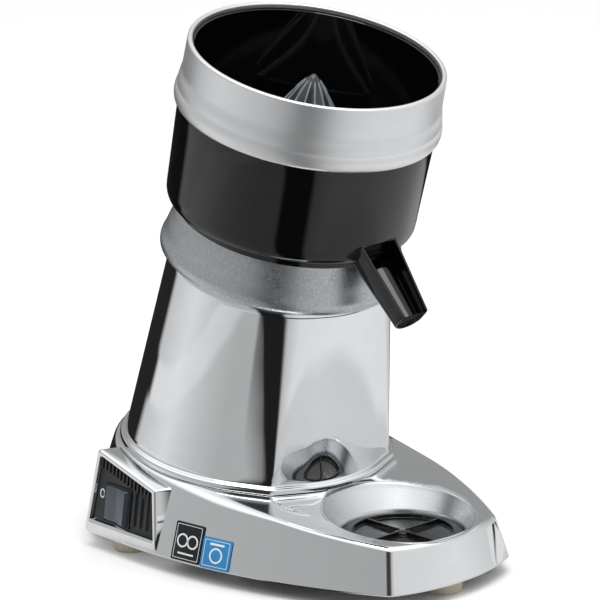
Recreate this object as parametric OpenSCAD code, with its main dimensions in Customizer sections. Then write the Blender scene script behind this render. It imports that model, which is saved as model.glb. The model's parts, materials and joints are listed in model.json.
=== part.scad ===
// Citrus press juicer: a leaning motor tower on a boat-shaped base, with a
// juice bowl, strainer and squeezer on the motor shaft and a glass dish in front.
// Millimetres. +Z is up, the glass side faces -Y, the switch is on the -X side.
// The origin lies under the middle of the base, on the surface it stands on.

/* [Base] */
// Full width of the base at its widest place
base_w = 212; // [196:1:236]
// Full length of the base, front to rear
base_len = 304; // [292:1:330]
// Height of the rubber feet under the base
foot_h = 10; // [6:1:14]
// Radius of a foot
foot_r = 12; // [9:1:13]
// Half width of the base between its two front corners
nose_half = 54; // [48:1:60]
// How far the front edge bows out past the front corners
nose_bow = 12; // [6:1:16]
// Height of the front deck above the surface at the front corners
deck_h = 37.5; // [34:0.5:46]
// Slope of the front deck, rising to the rear
deck_slope = 5.5; // [3:0.5:7]
// Lean of the base's side walls from the vertical
draft = 18; // [10:1:20]
// Thickness of the base casting
base_wall = 4; // [3:0.5:5]

/* [Tower] */
// Lean of the tower, bowl and motor towards the glass
lean = 14.2; // [8:0.2:16]
// Where the motor axis stands at the reference height, front to rear
axis_y = 10.5; // [4:0.5:18]
// Reference height on the motor axis, where the motor cover meets the tower
axis_z = 200; // [190:1:230]
// Outer radius of the tower under the motor cover
tower_r = 72; // [66:1:76]
// Radius of the tower's round rear at its foot
tower_rear_r = 86; // [80:1:88]
// Half width of the tower's flat front at its foot
tower_front_half = 57; // [48:1:60]
// Where the tower's front stands at its foot
tower_front_y = -37; // [-40:0.5:-30]
// Slope of the plane that the tower stands on
seat_slope = 7; // [5:0.5:8]
// Height of the tower's seat at its front
seat_h = 51; // [50:0.5:56]
// Thickness of the tower casting
tower_wall = 3; // [2.5:0.5:5]
// How far the bead round the tower's foot stands out
bead_out = 3.5; // [2:0.5:5]
// Height of the bead
bead_h = 4; // [3:0.5:6]

/* [Motor cover] */
// Radius of the cover's rounded lip
cover_r = 79.4; // [76:0.2:84]
// Thickness of the cover casting
cover_wall = 4; // [3:0.5:5]
// Height of the cover's top face above the reference point
cover_top = 18; // [14:0.5:22]
// Outer radius of the neck round the shaft
neck_r = 12; // [11:0.5:13]
// Height of the neck's end
neck_top = 48; // [40:1:52]

/* [Bowl] */
// Outer radius of the bowl just above its floor
bowl_r = 81; // [76:0.5:86]
// Thickness of the bowl's wall
bowl_wall = 3; // [2.5:0.5:4]
// Height of the bowl's under side
bowl_bottom = 23; // [20:0.5:28]
// Height of the shoulder that carries the metal ring
shoulder_h = 90; // [80:1:94]
// Height of the bowl's top edge
bowl_top = 129; // [120:0.5:140]
// How far the metal ring's top stands outside the bowl
ring_over = 1.8; // [1:0.2:4]
// How far the ring's bead bulges out
ring_bulge = 3.2; // [1:0.2:5]
// Thickness of the metal ring
ring_wall = 2; // [1.5:0.25:3]
// Half width of the spout where it leaves the bowl
spout_half = 16.5; // [12:0.5:19]
// Half width of the spout at its tip
spout_tip_half = 11.5; // [8:0.5:14]
// How far the spout's tip stands in front of the motor axis
spout_reach = 120; // [110:1:126]
// Height of the strainer's flange
strainer_h = 49; // [46:0.5:55]
// Thickness of the strainer
strainer_t = 2; // [1.5:0.5:3]
// Number of slots round the strainer
strainer_slots = 30; // [18:1:36]

/* [Squeezer] */
// Radius of the squeezer's skirt
squeezer_r = 38; // [32:1:44]
// Height of the squeezer's skirt
squeezer_h0 = 57; // [54:0.5:62]
// Height of the squeezer's tip
squeezer_tip = 119; // [108:1:124]
// Number of ribs on the squeezer
squeezer_ribs = 12; // [8:1:16]

/* [Motor] */
// Radius of the stator core
stator_r = 47; // [40:1:52]
// Length of the stator core
stator_len = 46; // [36:1:52]
// Depth of each end shield
shield_len = 22; // [19:1:26]
// Radius of the rotor core
rotor_r = 25; // [20:1:28]
// Radius of the shaft in its bearings
shaft_r = 7.5; // [6.5:0.5:8.5]
// Radius of the shaft inside the squeezer
spindle_r = 6; // [5:0.5:6]
// Outer radius of a bearing
bearing_r = 17.5; // [16:0.5:20]
// Width of a bearing
bearing_w = 11; // [9:0.5:13]
// Radius of the cooling fan
fan_r = 40; // [32:1:44]
// Number of fan blades
fan_blades = 9; // [6:1:12]

/* [Switch] */
// Width of the switch housing at its foot
switch_w = 70; // [64:1:74]
// Middle of the switch housing, front to rear
switch_y = 56; // [52:1:60]
// Height of the rocker
rocker_h = 23; // [18:1:24]
// Width of the rocker
rocker_w = 23; // [18:1:24]

/* [Glass dish] */
// Middle of the dish, front to rear
dish_y = -97; // [-98:0.5:-95]
// Radius of the dish floor
dish_r = 40; // [36:0.5:41]
// Height of the dish floor above the surface
dish_z = 30; // [28:0.5:31]
// How much the dish widens for each millimetre it rises
dish_flare = 0.7; // [0.6:0.05:0.85]
// Thickness of the dish lining
dish_wall = 1.2; // [1:0.1:1.5]
// Number of ribs on the glass rest
rest_ribs = 4; // [3:1:8]

/* [Hidden] */

// Clearances
fit = 0.3;          // between pieces that are set in by hand
run_fit = 0.05;     // round a turning shaft
tap_fit = 0.03;     // round a screw in its thread
lining_fit = 0.05;  // round the dish lining
eps = 0.01;         // overlap of shapes that are one piece

// Base plan: a long side arc each side, a round rear and a bowed front
base_half = base_w / 2;
rear_y = base_len / 2 - base_half;
front_y = -base_len / 2;
corner_y = front_y + nose_bow;
side_drop = base_half - nose_half;
side_run = rear_y - corner_y;
side_r = (side_run * side_run + side_drop * side_drop) / (2 * side_drop);
side_sweep = asin(side_run / side_r);
nose_r = (nose_half * nose_half + nose_bow * nose_bow) / (2 * nose_bow);
nose_sweep = asin(nose_half / nose_r);
arc_steps = 12;

// One half of the plan as [x, y, normal angle], from the nose to the rear
half_plan = concat(
    [for (i = [0:arc_steps - 1]) let (a = nose_sweep * i / arc_steps)
        [nose_r * sin(a), front_y + nose_r * (1 - cos(a)), a - 90]],
    [[nose_half, corner_y, (nose_sweep - 90 - side_sweep) / 2]],
    [for (i = [1:arc_steps]) let (a = side_sweep * (1 - i / arc_steps))
        [base_half - side_r * (1 - cos(a)), rear_y - side_r * sin(a), -a]],
    [for (i = [1:2 * arc_steps]) let (a = 90 * i / (2 * arc_steps))
        [base_half * cos(a), rear_y + base_half * sin(a), a]]);
half_count = len(half_plan);
base_plan = concat(half_plan,
    [for (i = [half_count - 2:-1:1]) [-half_plan[i][0], half_plan[i][1], 180 - half_plan[i][2]]]);
// The front corner moves along its mitre, so its inset is longer
mitre = min(1.6, 1 / cos((nose_sweep - 90 + side_sweep) / 2));
function is_corner(p) = abs(abs(p[0]) - nose_half) < eps && abs(p[1] - corner_y) < eps;
function inset(p, d) = let (k = is_corner(p) ? d * mitre : d)
    [p[0] - k * cos(p[2]), p[1] - k * sin(p[2])];

// Tower foot plan
tower_mid_y = rear_y - 6;
tower_corner_r = 10;
front_bow = 4;
tower_mid_r = 52;
tower_mid_x = (tower_rear_r + tower_front_half) / 2 + 3 - tower_mid_r;

// Motor stations along the leaning axis
cover_seat = -13;
motor_top = -4;
core_top = motor_top - shield_len;
core_bottom = core_top - stator_len;
motor_bottom = core_bottom - shield_len;
fan_z = motor_bottom - 14;
shaft_bottom = fan_z - 3;
spindle_top = squeezer_tip - 27;
pin_h = squeezer_h0 + 13;
pin_r = 1.5;
pin_half = 11;
motor_screw_ring = 36;
cover_screw_ring = tower_r - tower_wall - 5;
tie_bolt_ring = stator_r - 5;
tie_bolt_turn = 45;
winding_r = stator_r - 9;

// Switch housing: its face leans in and its top slopes up to the rear
switch_foot_x = -base_half;
switch_top_half = switch_w / 2 - 6;
switch_front_z = seat_h + 1;
switch_rear_z = seat_h + 16;
switch_face_lean = 8.5;
switch_depth = 26;
switch_face_x = switch_foot_x;
frame_w = 3.5;
panel_depth = 3;
panel_t = 2;
panel_z0 = foot_h + 9;
rocker_y = switch_y + 8;
rocker_z = 33;
rocker_rest = 9;
rocker_pivot_x = panel_depth + 4.5;

// Spout stations in the leaning frame
spout_root_y = -(bowl_r - 16);
spout_root_h = bowl_bottom + 11;
spout_side = 11.5;
spout_tip_side = 7.5;
spout_drop = 30;
spout_tip_h = spout_root_h - spout_drop;
spout_wall = 2.5;
spout_angle = atan2(spout_drop, spout_reach + spout_root_y);

ring_r = bowl_r + ring_over;
screw_head_r = 4;
screw_r = 2;
foot_places = [[0, -134], [-87.3, 66], [87.3, 66]];
plate_screws = [[-34, -132], [34, -132], [-80, -22], [80, -22], [-46, 122], [46, 122]];
plate_t = 1.5;
gland_h = 18;
gland_r = 8;
// The lower deck's rear edge is part of this circle
deck_round_y = dish_y - 8;
deck_round_r = 90;
plate_gap = 0.5;
capacitor_r = 13;
capacitor_len = 46;
capacitor_place = [34, -14, plate_t + foot_h + capacitor_r + 4];

// Puts children on the leaning motor axis, h above the reference point
module on_axis(h = 0) {
    translate([0, axis_y, axis_z]) rotate([lean, 0, 0]) translate([0, 0, h]) children();
}

// A tube of radii r and bore, from z0 to z1
module tube(r, bore, z0, z1) {
    difference() {
        translate([0, 0, z0]) cylinder(h = z1 - z0, r = r, $fn = 96);
        translate([0, 0, z0 - 1]) cylinder(h = z1 - z0 + 2, r = bore, $fn = 96);
    }
}

// Copies children round the axis, count times at radius r
module ring_of(count, r, turn = 0) {
    for (i = [0:count - 1]) rotate([0, 0, turn + i * 360 / count]) translate([r, 0, 0]) children();
}

// A pan-head screw, its head's seat at z = 0 and its shank pointing down
module screw(len, r = screw_r, head = screw_head_r) {
    translate([0, 0, -len]) cylinder(h = len, r = r, $fn = 24);
    difference() {
        cylinder(h = head * 0.6, r = head, $fn = 24);
        for (a = [0, 90]) rotate([0, 0, a])
            translate([-head * 0.6, -0.4, head * 0.3]) cube([head * 1.2, 0.8, head]);
    }
}

// The base's outside, from z0 up to a sloping plane that has height h at y = at,
// drafted inwards from the foot; grow sets the whole outline in
module base_block(grow, z0, h, at, slope) {
    n = len(base_plan);
    low = [for (p = base_plan) let (q = inset(p, grow + (z0 - foot_h) * tan(draft))) [q[0], q[1], z0]];
    high = [for (p = base_plan)
        let (k = is_corner(p) ? mitre : 1,
            reach = p[1] - k * grow * sin(p[2]) - at,
            rise = (h + reach * tan(slope) - foot_h) / (1 + tan(slope) * tan(draft) * k * sin(p[2])),
            q = inset(p, grow + rise * tan(draft)))
        [q[0], q[1], foot_h + rise]];
    polyhedron(points = concat(low, high), faces = concat(
        [[for (i = [0:n - 1]) i]], [[for (i = [n - 1:-1:0]) n + i]],
        [for (i = [0:n - 1]) [i, n + i, n + (i + 1) % n]],
        [for (i = [0:n - 1]) [i, n + (i + 1) % n, (i + 1) % n]]));
}

// The base up to the front deck, or up to the seat of the tower, less a wall
module deck_block(wall, z0) {
    base_block(wall, z0, deck_h - wall, corner_y, deck_slope);
}
module seat_block(wall, z0) {
    base_block(wall, z0, seat_h - wall, tower_front_y, seat_slope);
}

// Outline of the tower's foot, grown by g
module tower_plan(g) {
    hull() {
        translate([0, tower_mid_y]) circle(r = tower_rear_r + g, $fn = 96);
        for (s = [-1, 1]) translate([s * tower_mid_x, tower_front_y + tower_mid_r])
            circle(r = tower_mid_r + g, $fn = 64);
        // slightly bowed front
        for (i = [-4:4]) let (t = i / 4)
            translate([t * (tower_front_half - tower_corner_r),
                tower_front_y + tower_corner_r + front_bow * t * t])
                circle(r = tower_corner_r + g, $fn = 32);
    }
}

// Puts children on the sloping plane that the tower stands on
module on_seat(up = 0) {
    translate([0, tower_front_y, seat_h]) rotate([seat_slope, 0, 0])
        translate([0, -tower_front_y, up]) children();
}

// The tower's outside, from its foot to the round top, grown by g
module tower_block(g, low, high) {
    hull() {
        on_seat(low) linear_extrude(height = 0.5) tower_plan(g);
        on_axis(high - 0.5) cylinder(h = 0.5, r = tower_r + g, $fn = 96);
    }
}

// What is cut away above the lower deck in front of the tower
module lower_deck_cut() {
    intersection() {
        translate([-base_w, corner_y, deck_h]) rotate([deck_slope, 0, 0])
            translate([0, -base_len, 0]) cube([2 * base_w, 2 * base_len, 60]);
        linear_extrude(height = 2 * seat_h) difference() {
            union() {
                translate([-base_w, deck_round_y - base_len]) square([2 * base_w, base_len]);
                translate([0, deck_round_y]) circle(r = deck_round_r, $fn = 96);
            }
            tower_plan(bead_out + 1);
        }
    }
}

module base_casting() {
    color("silver") difference() {
        union() {
            difference() {
                seat_block(0, foot_h);
                lower_deck_cut();
                deck_block(base_wall, foot_h - 1);
            }
            // posts that the bottom plate is screwed to
            intersection() {
                deck_block(base_wall / 2, foot_h);
                for (p = plate_screws) translate([p[0], p[1], foot_h + plate_t + plate_gap])
                    cylinder(h = 2 * seat_h, r = 5, $fn = 32);
            }
        }
        for (p = plate_screws) translate([p[0], p[1], foot_h]) cylinder(h = 14, r = screw_r + tap_fit, $fn = 24);
        // hole for the dish lining
        translate([0, dish_y, dish_z]) cylinder(h = 40, r1 = dish_r + dish_wall,
            r2 = dish_r + dish_wall + 40 * dish_flare, $fn = 96);
        translate([0, dish_y, 0]) cylinder(h = dish_z + 1, r = dish_r + dish_wall, $fn = 96);
        // opening that lets the wires up into the tower
        translate([0, rear_y - 20, foot_h]) cylinder(h = 90, r = 40, $fn = 96);
        // window behind the switch
        face_slab(fit - frame_w, panel_z0 - fit, -2, switch_depth + 6);
        // cable hole at the rear
        translate([0, base_len / 2, foot_h + gland_h]) rotate([90, 0, 0])
            cylinder(h = 40, r = gland_r + fit, $fn = 48);
    }
}

module bottom_plate() {
    color("dimgray") difference() {
        translate([0, 0, foot_h]) linear_extrude(height = plate_t)
            polygon([for (p = base_plan) inset(p, base_wall + 1.5)]);
        for (p = plate_screws) translate([p[0], p[1], 0]) cylinder(h = 2 * foot_h, r = screw_r + fit, $fn = 24);
        for (p = foot_places) translate([p[0], p[1], 0])
            cylinder(h = 2 * foot_h, r = screw_r + fit, $fn = 24);
    }
}

module bottom_screws() {
    color("silver") for (p = plate_screws) translate([p[0], p[1], foot_h])
        rotate([180, 0, 0]) screw(12);
}

module feet() {
    color("tan") for (p = foot_places) translate([p[0], p[1], 0]) difference() {
        cylinder(h = foot_h, r1 = foot_r - 1.2, r2 = foot_r, $fn = 64);
        translate([0, 0, -1]) cylinder(h = foot_h / 2 + 1, r = screw_head_r + 1, $fn = 32);
        cylinder(h = foot_h + 1, r = screw_r + fit, $fn = 24);
    }
}

module foot_screws() {
    color("silver") for (p = foot_places) translate([p[0], p[1], foot_h / 2])
        rotate([180, 0, 0]) screw(foot_h / 2 + 6);
}

module tower_housing() {
    color("gainsboro") difference() {
        union() {
            tower_block(0, 0, cover_seat);
            on_seat() linear_extrude(height = bead_h) tower_plan(bead_out);
        }
        difference() {
            tower_block(-tower_wall, -1, cover_seat + 1);
            on_axis() ring_of(3, cover_screw_ring, 90) translate([0, 0, cover_seat - 24])
                cylinder(h = 30, r = 6, $fn = 32);
        }
        // room for the motor between the screw posts
        on_axis(core_bottom) cylinder(h = cover_seat - core_bottom + 4, r = stator_r + 1.5, $fn = 96);
        on_axis() ring_of(3, cover_screw_ring, 90) translate([0, 0, cover_seat - 16])
            cylinder(h = 30, r = screw_r + tap_fit, $fn = 24);
    }
}

module motor_cover() {
    top_r = bowl_r - 9;
    spigot_r = tower_r - tower_wall - fit;
    hollow_r = min(spigot_r, top_r) - 8;
    color("darkgray") on_axis() difference() {
        union() {
            rotate_extrude($fn = 128) polygon([
                [neck_r, cover_top - cover_wall], [neck_r, cover_top], [top_r, cover_top],
                [top_r + 1.5, cover_top - 4], [top_r + 3.5, cover_top - 10], [cover_r - 2, cover_top - 18],
                [cover_r - 0.4, cover_top - 22], [cover_r, cover_top - 25.5], [cover_r - 0.6, cover_top - 28.5],
                [cover_r - 2.5, cover_seat], [hollow_r, cover_seat],
                [hollow_r, cover_top - cover_wall]]);
            tube(neck_r, bearing_r - 10, cover_top - cover_wall, neck_top);
            ring_of(4, motor_screw_ring, 0) translate([0, 0, motor_top])
                cylinder(h = cover_top - motor_top - 1, r = 6, $fn = 32);
        }
        translate([0, 0, cover_top - 20]) cylinder(h = 80, r = spindle_r + 2, $fn = 48);
        ring_of(4, motor_screw_ring, 0) translate([0, 0, motor_top - 1])
            cylinder(h = 14, r = screw_r + tap_fit, $fn = 24);
        ring_of(3, cover_screw_ring, 90) translate([0, 0, cover_seat - 1]) {
            cylinder(h = 60, r = screw_r + fit, $fn = 24);
            translate([0, 0, 12]) cylinder(h = 60, r = screw_head_r + 1, $fn = 32);
        }
    }
}

module cover_screws() {
    color("silver") on_axis(cover_seat + 11) ring_of(3, cover_screw_ring, 90) screw(24);
}

module shaft_seal() {
    color("black") on_axis() tube(neck_r, spindle_r + run_fit, neck_top, neck_top + 4);
}

// A cup that closes one end of the motor; its bearing pocket faces the core
module end_shield() {
    difference() {
        union() {
            cylinder(h = 4, r = stator_r, $fn = 96);
            tube(stator_r, stator_r - 4, 0, shield_len);
            cylinder(h = bearing_w + 4, r = bearing_r + 4, $fn = 96);
        }
        translate([0, 0, 3]) cylinder(h = bearing_w + 2, r = bearing_r, $fn = 96);
        translate([0, 0, -1]) cylinder(h = 10, r = shaft_r + 2, $fn = 48);
        ring_of(4, tie_bolt_ring, tie_bolt_turn) translate([0, 0, -1])
            cylinder(h = shield_len + 2, r = screw_r + fit, $fn = 24);
        ring_of(6, bearing_r + 14, 15) translate([0, 0, -1]) cylinder(h = 6, r = 4, $fn = 32);
        ring_of(4, motor_screw_ring, 0) translate([0, 0, -1]) cylinder(h = 6, r = screw_r + fit, $fn = 24);
    }
}

module upper_end_shield() {
    color("silver") on_axis(motor_top) rotate([180, 0, 0]) end_shield();
}

module lower_end_shield() {
    color("silver") on_axis(motor_bottom) end_shield();
}

module stator_core() {
    color("slategray") on_axis() difference() {
        tube(stator_r, rotor_r + 0.6, core_bottom, core_top);
        ring_of(4, tie_bolt_ring, tie_bolt_turn) translate([0, 0, core_bottom - 1])
            cylinder(h = stator_len + 2, r = screw_r + fit, $fn = 24);
        ring_of(12, rotor_r + 6, 0) translate([0, 0, core_bottom - 1])
            cylinder(h = stator_len + 2, r = 3, $fn = 24);
    }
}

module stator_windings() {
    color("chocolate") on_axis() for (z = [core_top, core_bottom]) {
        s = z == core_top ? 1 : -1;
        low = s > 0 ? z : z - 12;
        tube(winding_r - 1, rotor_r + 2, low, low + 6);
    }
}

module motor_tie_bolts() {
    color("silver") on_axis(motor_top) ring_of(4, tie_bolt_ring, tie_bolt_turn)
        screw(motor_top - motor_bottom + 3, screw_r, 3.4);
}

module motor_screws() {
    color("silver") on_axis(motor_top - 4) ring_of(4, motor_screw_ring, 0)
        rotate([180, 0, 0]) screw(15, screw_r, 3.4);
}

// A ball bearing drawn as its closed outline
module bearing() {
    difference() {
        cylinder(h = bearing_w, r = bearing_r - 0.02, $fn = 96);
        translate([0, 0, -1]) cylinder(h = bearing_w + 2, r = shaft_r + run_fit, $fn = 96);
        for (z = [-1, bearing_w - 0.8]) translate([0, 0, z])
            tube(bearing_r - 3.5, shaft_r + 3, 0, 1.8);
    }
}

module upper_bearing() {
    color("silver") on_axis(motor_top - 3 - bearing_w) bearing();
}

module lower_bearing() {
    color("silver") on_axis(motor_bottom + 3) bearing();
}

module motor_shaft() {
    color("lightsteelblue") on_axis() difference() {
        union() {
            translate([0, 0, shaft_bottom]) cylinder(h = cover_top - 21 - shaft_bottom, r = shaft_r, $fn = 96);
            translate([0, 0, cover_top - 22]) cylinder(h = spindle_top - cover_top + 22, r = spindle_r, $fn = 96);
            translate([0, 0, spindle_top]) cylinder(h = 1.5, r1 = spindle_r, r2 = spindle_r - 1.5, $fn = 96);
        }
        translate([-30, 0, pin_h]) rotate([0, 90, 0]) cylinder(h = 60, r = pin_r, $fn = 32);
    }
}

module rotor_core() {
    color("slategray") on_axis() tube(rotor_r, shaft_r, core_bottom - 3, core_top + 3);
}

module cooling_fan() {
    color("black") on_axis(fan_z) difference() {
        union() {
            cylinder(h = 2, r = fan_r, $fn = 96);
            cylinder(h = 9, r = shaft_r + 4, $fn = 48);
            for (i = [0:fan_blades - 1]) rotate([0, 0, i * 360 / fan_blades])
                translate([shaft_r + 3, -1, 0]) cube([fan_r - shaft_r - 6, 2, 9]);
        }
        translate([0, 0, -5]) cylinder(h = 20, r = shaft_r, $fn = 96);
    }
}

module drive_pin() {
    color("silver") on_axis(pin_h) translate([-pin_half, 0, 0]) rotate([0, 90, 0])
        cylinder(h = 2 * pin_half, r = pin_r, $fn = 32);
}

module capacitor() {
    color("white") translate(capacitor_place) rotate([0, 90, 90]) {
        cylinder(h = capacitor_len, r = capacitor_r, $fn = 64);
        for (s = [-1, 1]) translate([s * 5 - 0.4, -3, capacitor_len]) cube([0.8, 6, 8]);
    }
}

module capacitor_clip() {
    color("silver") translate(capacitor_place) {
        translate([0, capacitor_len / 2 - 5, 0]) rotate([0, 90, 90])
            tube(capacitor_r + 1.2, capacitor_r + 0.05, 0, 10);
        translate([-9, capacitor_len / 2 - 5, plate_t + foot_h - capacitor_place[2]])
            cube([18, 10, 3.4]);
    }
}

module terminal_block() {
    color("ivory") translate([-30, 62, foot_h + plate_t]) difference() {
        cube([40, 16, 14]);
        for (i = [0:3]) translate([5 + i * 10, -1, 6]) rotate([-90, 0, 0]) cylinder(h = 18, r = 2, $fn = 24);
        for (i = [0:3], y = [4, 12]) translate([5 + i * 10, y, 9]) cylinder(h = 6, r = 2.4, $fn = 24);
    }
}

module cable_gland() {
    wall_lean = gland_h * tan(draft);
    color("black") translate([0, base_len / 2 - wall_lean, foot_h + gland_h]) rotate([90, 0, 0]) difference() {
        union() {
            translate([0, 0, 0.9 - wall_lean]) cylinder(h = 1.6, r = gland_r + 3, $fn = 48);
            translate([0, 0, 0.9 - wall_lean]) cylinder(h = 16, r = gland_r, $fn = 48);
        }
        translate([0, 0, -12]) cylinder(h = 40, r = 3.6, $fn = 48);
    }
}

// Outline of the switch housing's face, grown by g, in the plane of y and z
function face_outline(g, z0) = [
    [switch_y - switch_w / 2 - g + (z0 - foot_h) * 0.13, z0],
    [switch_y + switch_w / 2 + g - (z0 - foot_h) * 0.13, z0],
    [switch_y + switch_top_half + g, switch_rear_z + g],
    [switch_y - switch_top_half - g, switch_front_z + g]];

// Puts children in the leaning plane of the switch housing's face, x pointing in
module on_face(x = 0) {
    translate([switch_face_x, 0, foot_h]) rotate([0, switch_face_lean, 0])
        translate([x, 0, -foot_h]) children();
}

// A slab of the face outline, from x0 to x1 behind the face
module face_slab(g, z0, x0, x1) {
    on_face(x1) rotate([90, 0, -90]) linear_extrude(height = x1 - x0)
        polygon([for (p = face_outline(g, z0)) [-p[0], p[1]]]);
}

module switch_housing() {
    color("silver") difference() {
        face_slab(0, foot_h, 0, switch_depth);
        // the base's own wall runs through the housing's back
        base_block(-0.05, foot_h - 5, seat_h + 8, tower_front_y, seat_slope);
        face_slab(-frame_w, panel_z0, -1, switch_depth + 1);
        translate([-base_half - 20, 0, foot_h - 10]) cube([60, base_len, 10]);
    }
}

module switch_plate() {
    color([0.08, 0.08, 0.09]) difference() {
        union() {
            face_slab(-frame_w - 0.1, panel_z0 + 0.1, panel_depth, panel_depth + panel_t);
            // upright ribs beside the rocker
            for (i = [0:2]) on_face(panel_depth - 1.5)
                translate([0, switch_y - 22 + i * 6, panel_z0 + 4]) cube([2, 3, 24]);
        }
        on_face(-1) translate([0, rocker_y - rocker_w / 2 - 1.5, rocker_z - rocker_h / 2 - 1.5])
            cube([20, rocker_w + 3, rocker_h + 3]);
    }
}

module switch_body() {
    color("black") difference() {
        on_face(panel_depth - 1) translate([0, rocker_y - rocker_w / 2 - 1.4, rocker_z - rocker_h / 2 - 1.4])
            cube([20, rocker_w + 2.8, rocker_h + 2.8]);
        on_face(panel_depth - 2) translate([0, rocker_y - rocker_w / 2 - fit, rocker_z - rocker_h / 2 - fit])
            cube([13, rocker_w + 2 * fit, rocker_h + 2 * fit]);
    }
}

module rocker() {
    face_x = -rocker_pivot_x + 1.5;
    color("slategray") on_face() translate([rocker_pivot_x, rocker_y, rocker_z - rocker_h / 2])
        rotate([0, 0, -rocker_rest]) linear_extrude(height = rocker_h)
        polygon([[3, -3], [0, -rocker_w / 2 + 1.2], [face_x - 1, -rocker_w / 2 + 1.2], [face_x + 0.6, 0],
            [face_x - 1, rocker_w / 2 - 1.2], [0, rocker_w / 2 - 1.2], [3, 3]]);
}

module dish_lining() {
    flare_h = 40;
    color("lightgray") difference() {
        translate([0, dish_y, 0]) union() {
            translate([0, 0, dish_z]) cylinder(h = flare_h, r1 = dish_r + dish_wall - lining_fit,
                r2 = dish_r + dish_wall - lining_fit + flare_h * dish_flare, $fn = 96);
            translate([0, 0, dish_z - 6]) cylinder(h = 6 + eps, r = dish_r + dish_wall - lining_fit, $fn = 96);
        }
        translate([0, dish_y, dish_z]) cylinder(h = flare_h + 1, r1 = dish_r, r2 = dish_r + (flare_h + 1) * dish_flare, $fn = 96);
        translate([0, dish_y, dish_z - 4]) cylinder(h = 5, r = dish_r, $fn = 96);
        // trimmed level with the deck
        translate([-base_w, corner_y, deck_h]) rotate([deck_slope, 0, 0])
            translate([0, -base_len, 0.6]) cube([2 * base_w, 2 * base_len, 60]);
        // drain holes in the well's floor
        for (i = [0:5]) translate([(i - 2.5) * 9, dish_y, dish_z - 8]) cylinder(h = 8, r = 2, $fn = 24);
    }
}

module glass_rest() {
    disc_r = dish_r - 1;
    color([0.06, 0.06, 0.07]) translate([0, dish_y, dish_z - 4 + 0.05]) difference() {
        union() {
            cylinder(h = 3, r = disc_r, $fn = 96);
            tube(disc_r - 5, disc_r - 7, 0, 5);
            cylinder(h = 5, r = 8, $fn = 48);
            for (i = [0:rest_ribs - 1]) rotate([0, 0, i * 360 / rest_ribs])
                translate([6, -1, 0]) cube([disc_r - 12, 2, 5]);
        }
        for (i = [0:rest_ribs - 1]) rotate([0, 0, (i + 0.5) * 360 / rest_ribs])
            translate([(disc_r + 2) / 2, 0, -1]) cylinder(h = 5, r = 5, $fn = 48);
    }
}

// A thin square plate on the near side wall, w by h, its middle at y and z
module side_label(y, z, w, h) {
    drop = rear_y - y;
    x = base_half - side_r + sqrt(side_r * side_r - drop * drop) - (z - foot_h) * tan(draft);
    turn = asin(drop / side_r);
    translate([-x, y, z]) rotate([0, 0, turn]) rotate([0, draft, 0])
        translate([-0.8, -w / 2, -h / 2]) cube([0.7, w, h]);
}

module black_label() {
    color("black") side_label(-2.4, foot_h + 13.2, 23.4, 25);
}

module blue_label() {
    color("steelblue") side_label(-25.6, foot_h + 10.4, 22.6, 20);
}

// The spout's outline across the flow: round below, straight sides above
module spout_section(half, up) {
    union() {
        circle(r = half, $fn = 48);
        translate([-half, 0]) square([2 * half, up]);
    }
}

// The spout as a solid channel, thinned by grow; up raises its sides and extra lengthens it
module spout_block(grow, up, extra) {
    run = sqrt(spout_drop * spout_drop + pow(spout_reach + spout_root_y, 2));
    translate([0, spout_root_y, spout_root_h]) rotate([90 + spout_angle, 0, 0]) hull() {
        translate([0, 0, -extra]) linear_extrude(height = 0.5)
            spout_section(spout_half - grow, spout_side + up);
        translate([0, spout_tip_half - spout_half, run + extra - 0.5]) linear_extrude(height = 0.5)
            spout_section(spout_tip_half - grow, spout_tip_side + up);
    }
}

module bowl() {
    floor_t = 4;
    inner_r = bowl_r - bowl_wall;
    upper_r = ring_r - ring_wall - 2 * fit;
    chimney_r = neck_r + 1.5;
    color([0.03, 0.03, 0.035]) on_axis() difference() {
        union() {
            difference() {
                rotate_extrude($fn = 128) polygon([
                    [chimney_r, bowl_bottom], [bowl_r - 11, bowl_bottom], [bowl_r - 11, cover_top + 0.05],
                    [bowl_r - 8.5, cover_top + 0.05], [bowl_r - 8, bowl_bottom],
                    [bowl_r - 4.5, bowl_bottom + 0.4], [bowl_r - 2, bowl_bottom + 2], [bowl_r - 0.5, bowl_bottom + 4.5],
                    [bowl_r, bowl_bottom + 8], [ring_r, shoulder_h], [upper_r, shoulder_h],
                    [upper_r, bowl_top], [upper_r - bowl_wall + 0.6, bowl_top],
                    [inner_r - 0.5, strainer_h + 20], [inner_r - 0.5, strainer_h],
                    [inner_r - 3, strainer_h], [inner_r - 4, bowl_bottom + floor_t + 4],
                    [inner_r - 8, bowl_bottom + floor_t], [chimney_r + 3, bowl_bottom + floor_t + 4],
                    [chimney_r + 3, neck_top + 8], [chimney_r, neck_top + 8]]);
            }
            difference() {
                spout_block(0, 0, 0);
                translate([0, 0, bowl_bottom]) cylinder(h = 90, r = bowl_r - bowl_wall / 2, $fn = 128);
                // room for the motor cover under the bowl
                translate([0, 0, cover_top - 70]) cylinder(h = 44 + eps, r = cover_r + 1, $fn = 128);
                translate([0, 0, cover_top - 26]) cylinder(h = bowl_bottom - cover_top + 26 + eps,
                    r1 = cover_r + 1, r2 = bowl_r - 8, $fn = 128);
            }
        }
        intersection() {
            spout_block(spout_wall, 3 * spout_half, 2);
            union() {
                difference() {
                    translate([0, 0, -3 * spout_drop]) cylinder(h = 200, r = 2 * bowl_r, $fn = 64);
                    translate([0, 0, -4 * spout_drop]) cylinder(h = 300, r = bowl_r + 1.5, $fn = 128);
                }
                translate([0, 0, bowl_bottom - 20]) difference() {
                    cylinder(h = 20 + floor_t + 14, r = bowl_r + 5, $fn = 128);
                    translate([0, 0, -1]) cylinder(h = 80, r = bowl_r - bowl_wall - 1.5, $fn = 128);
                }
            }
        }
    }
}

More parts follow.
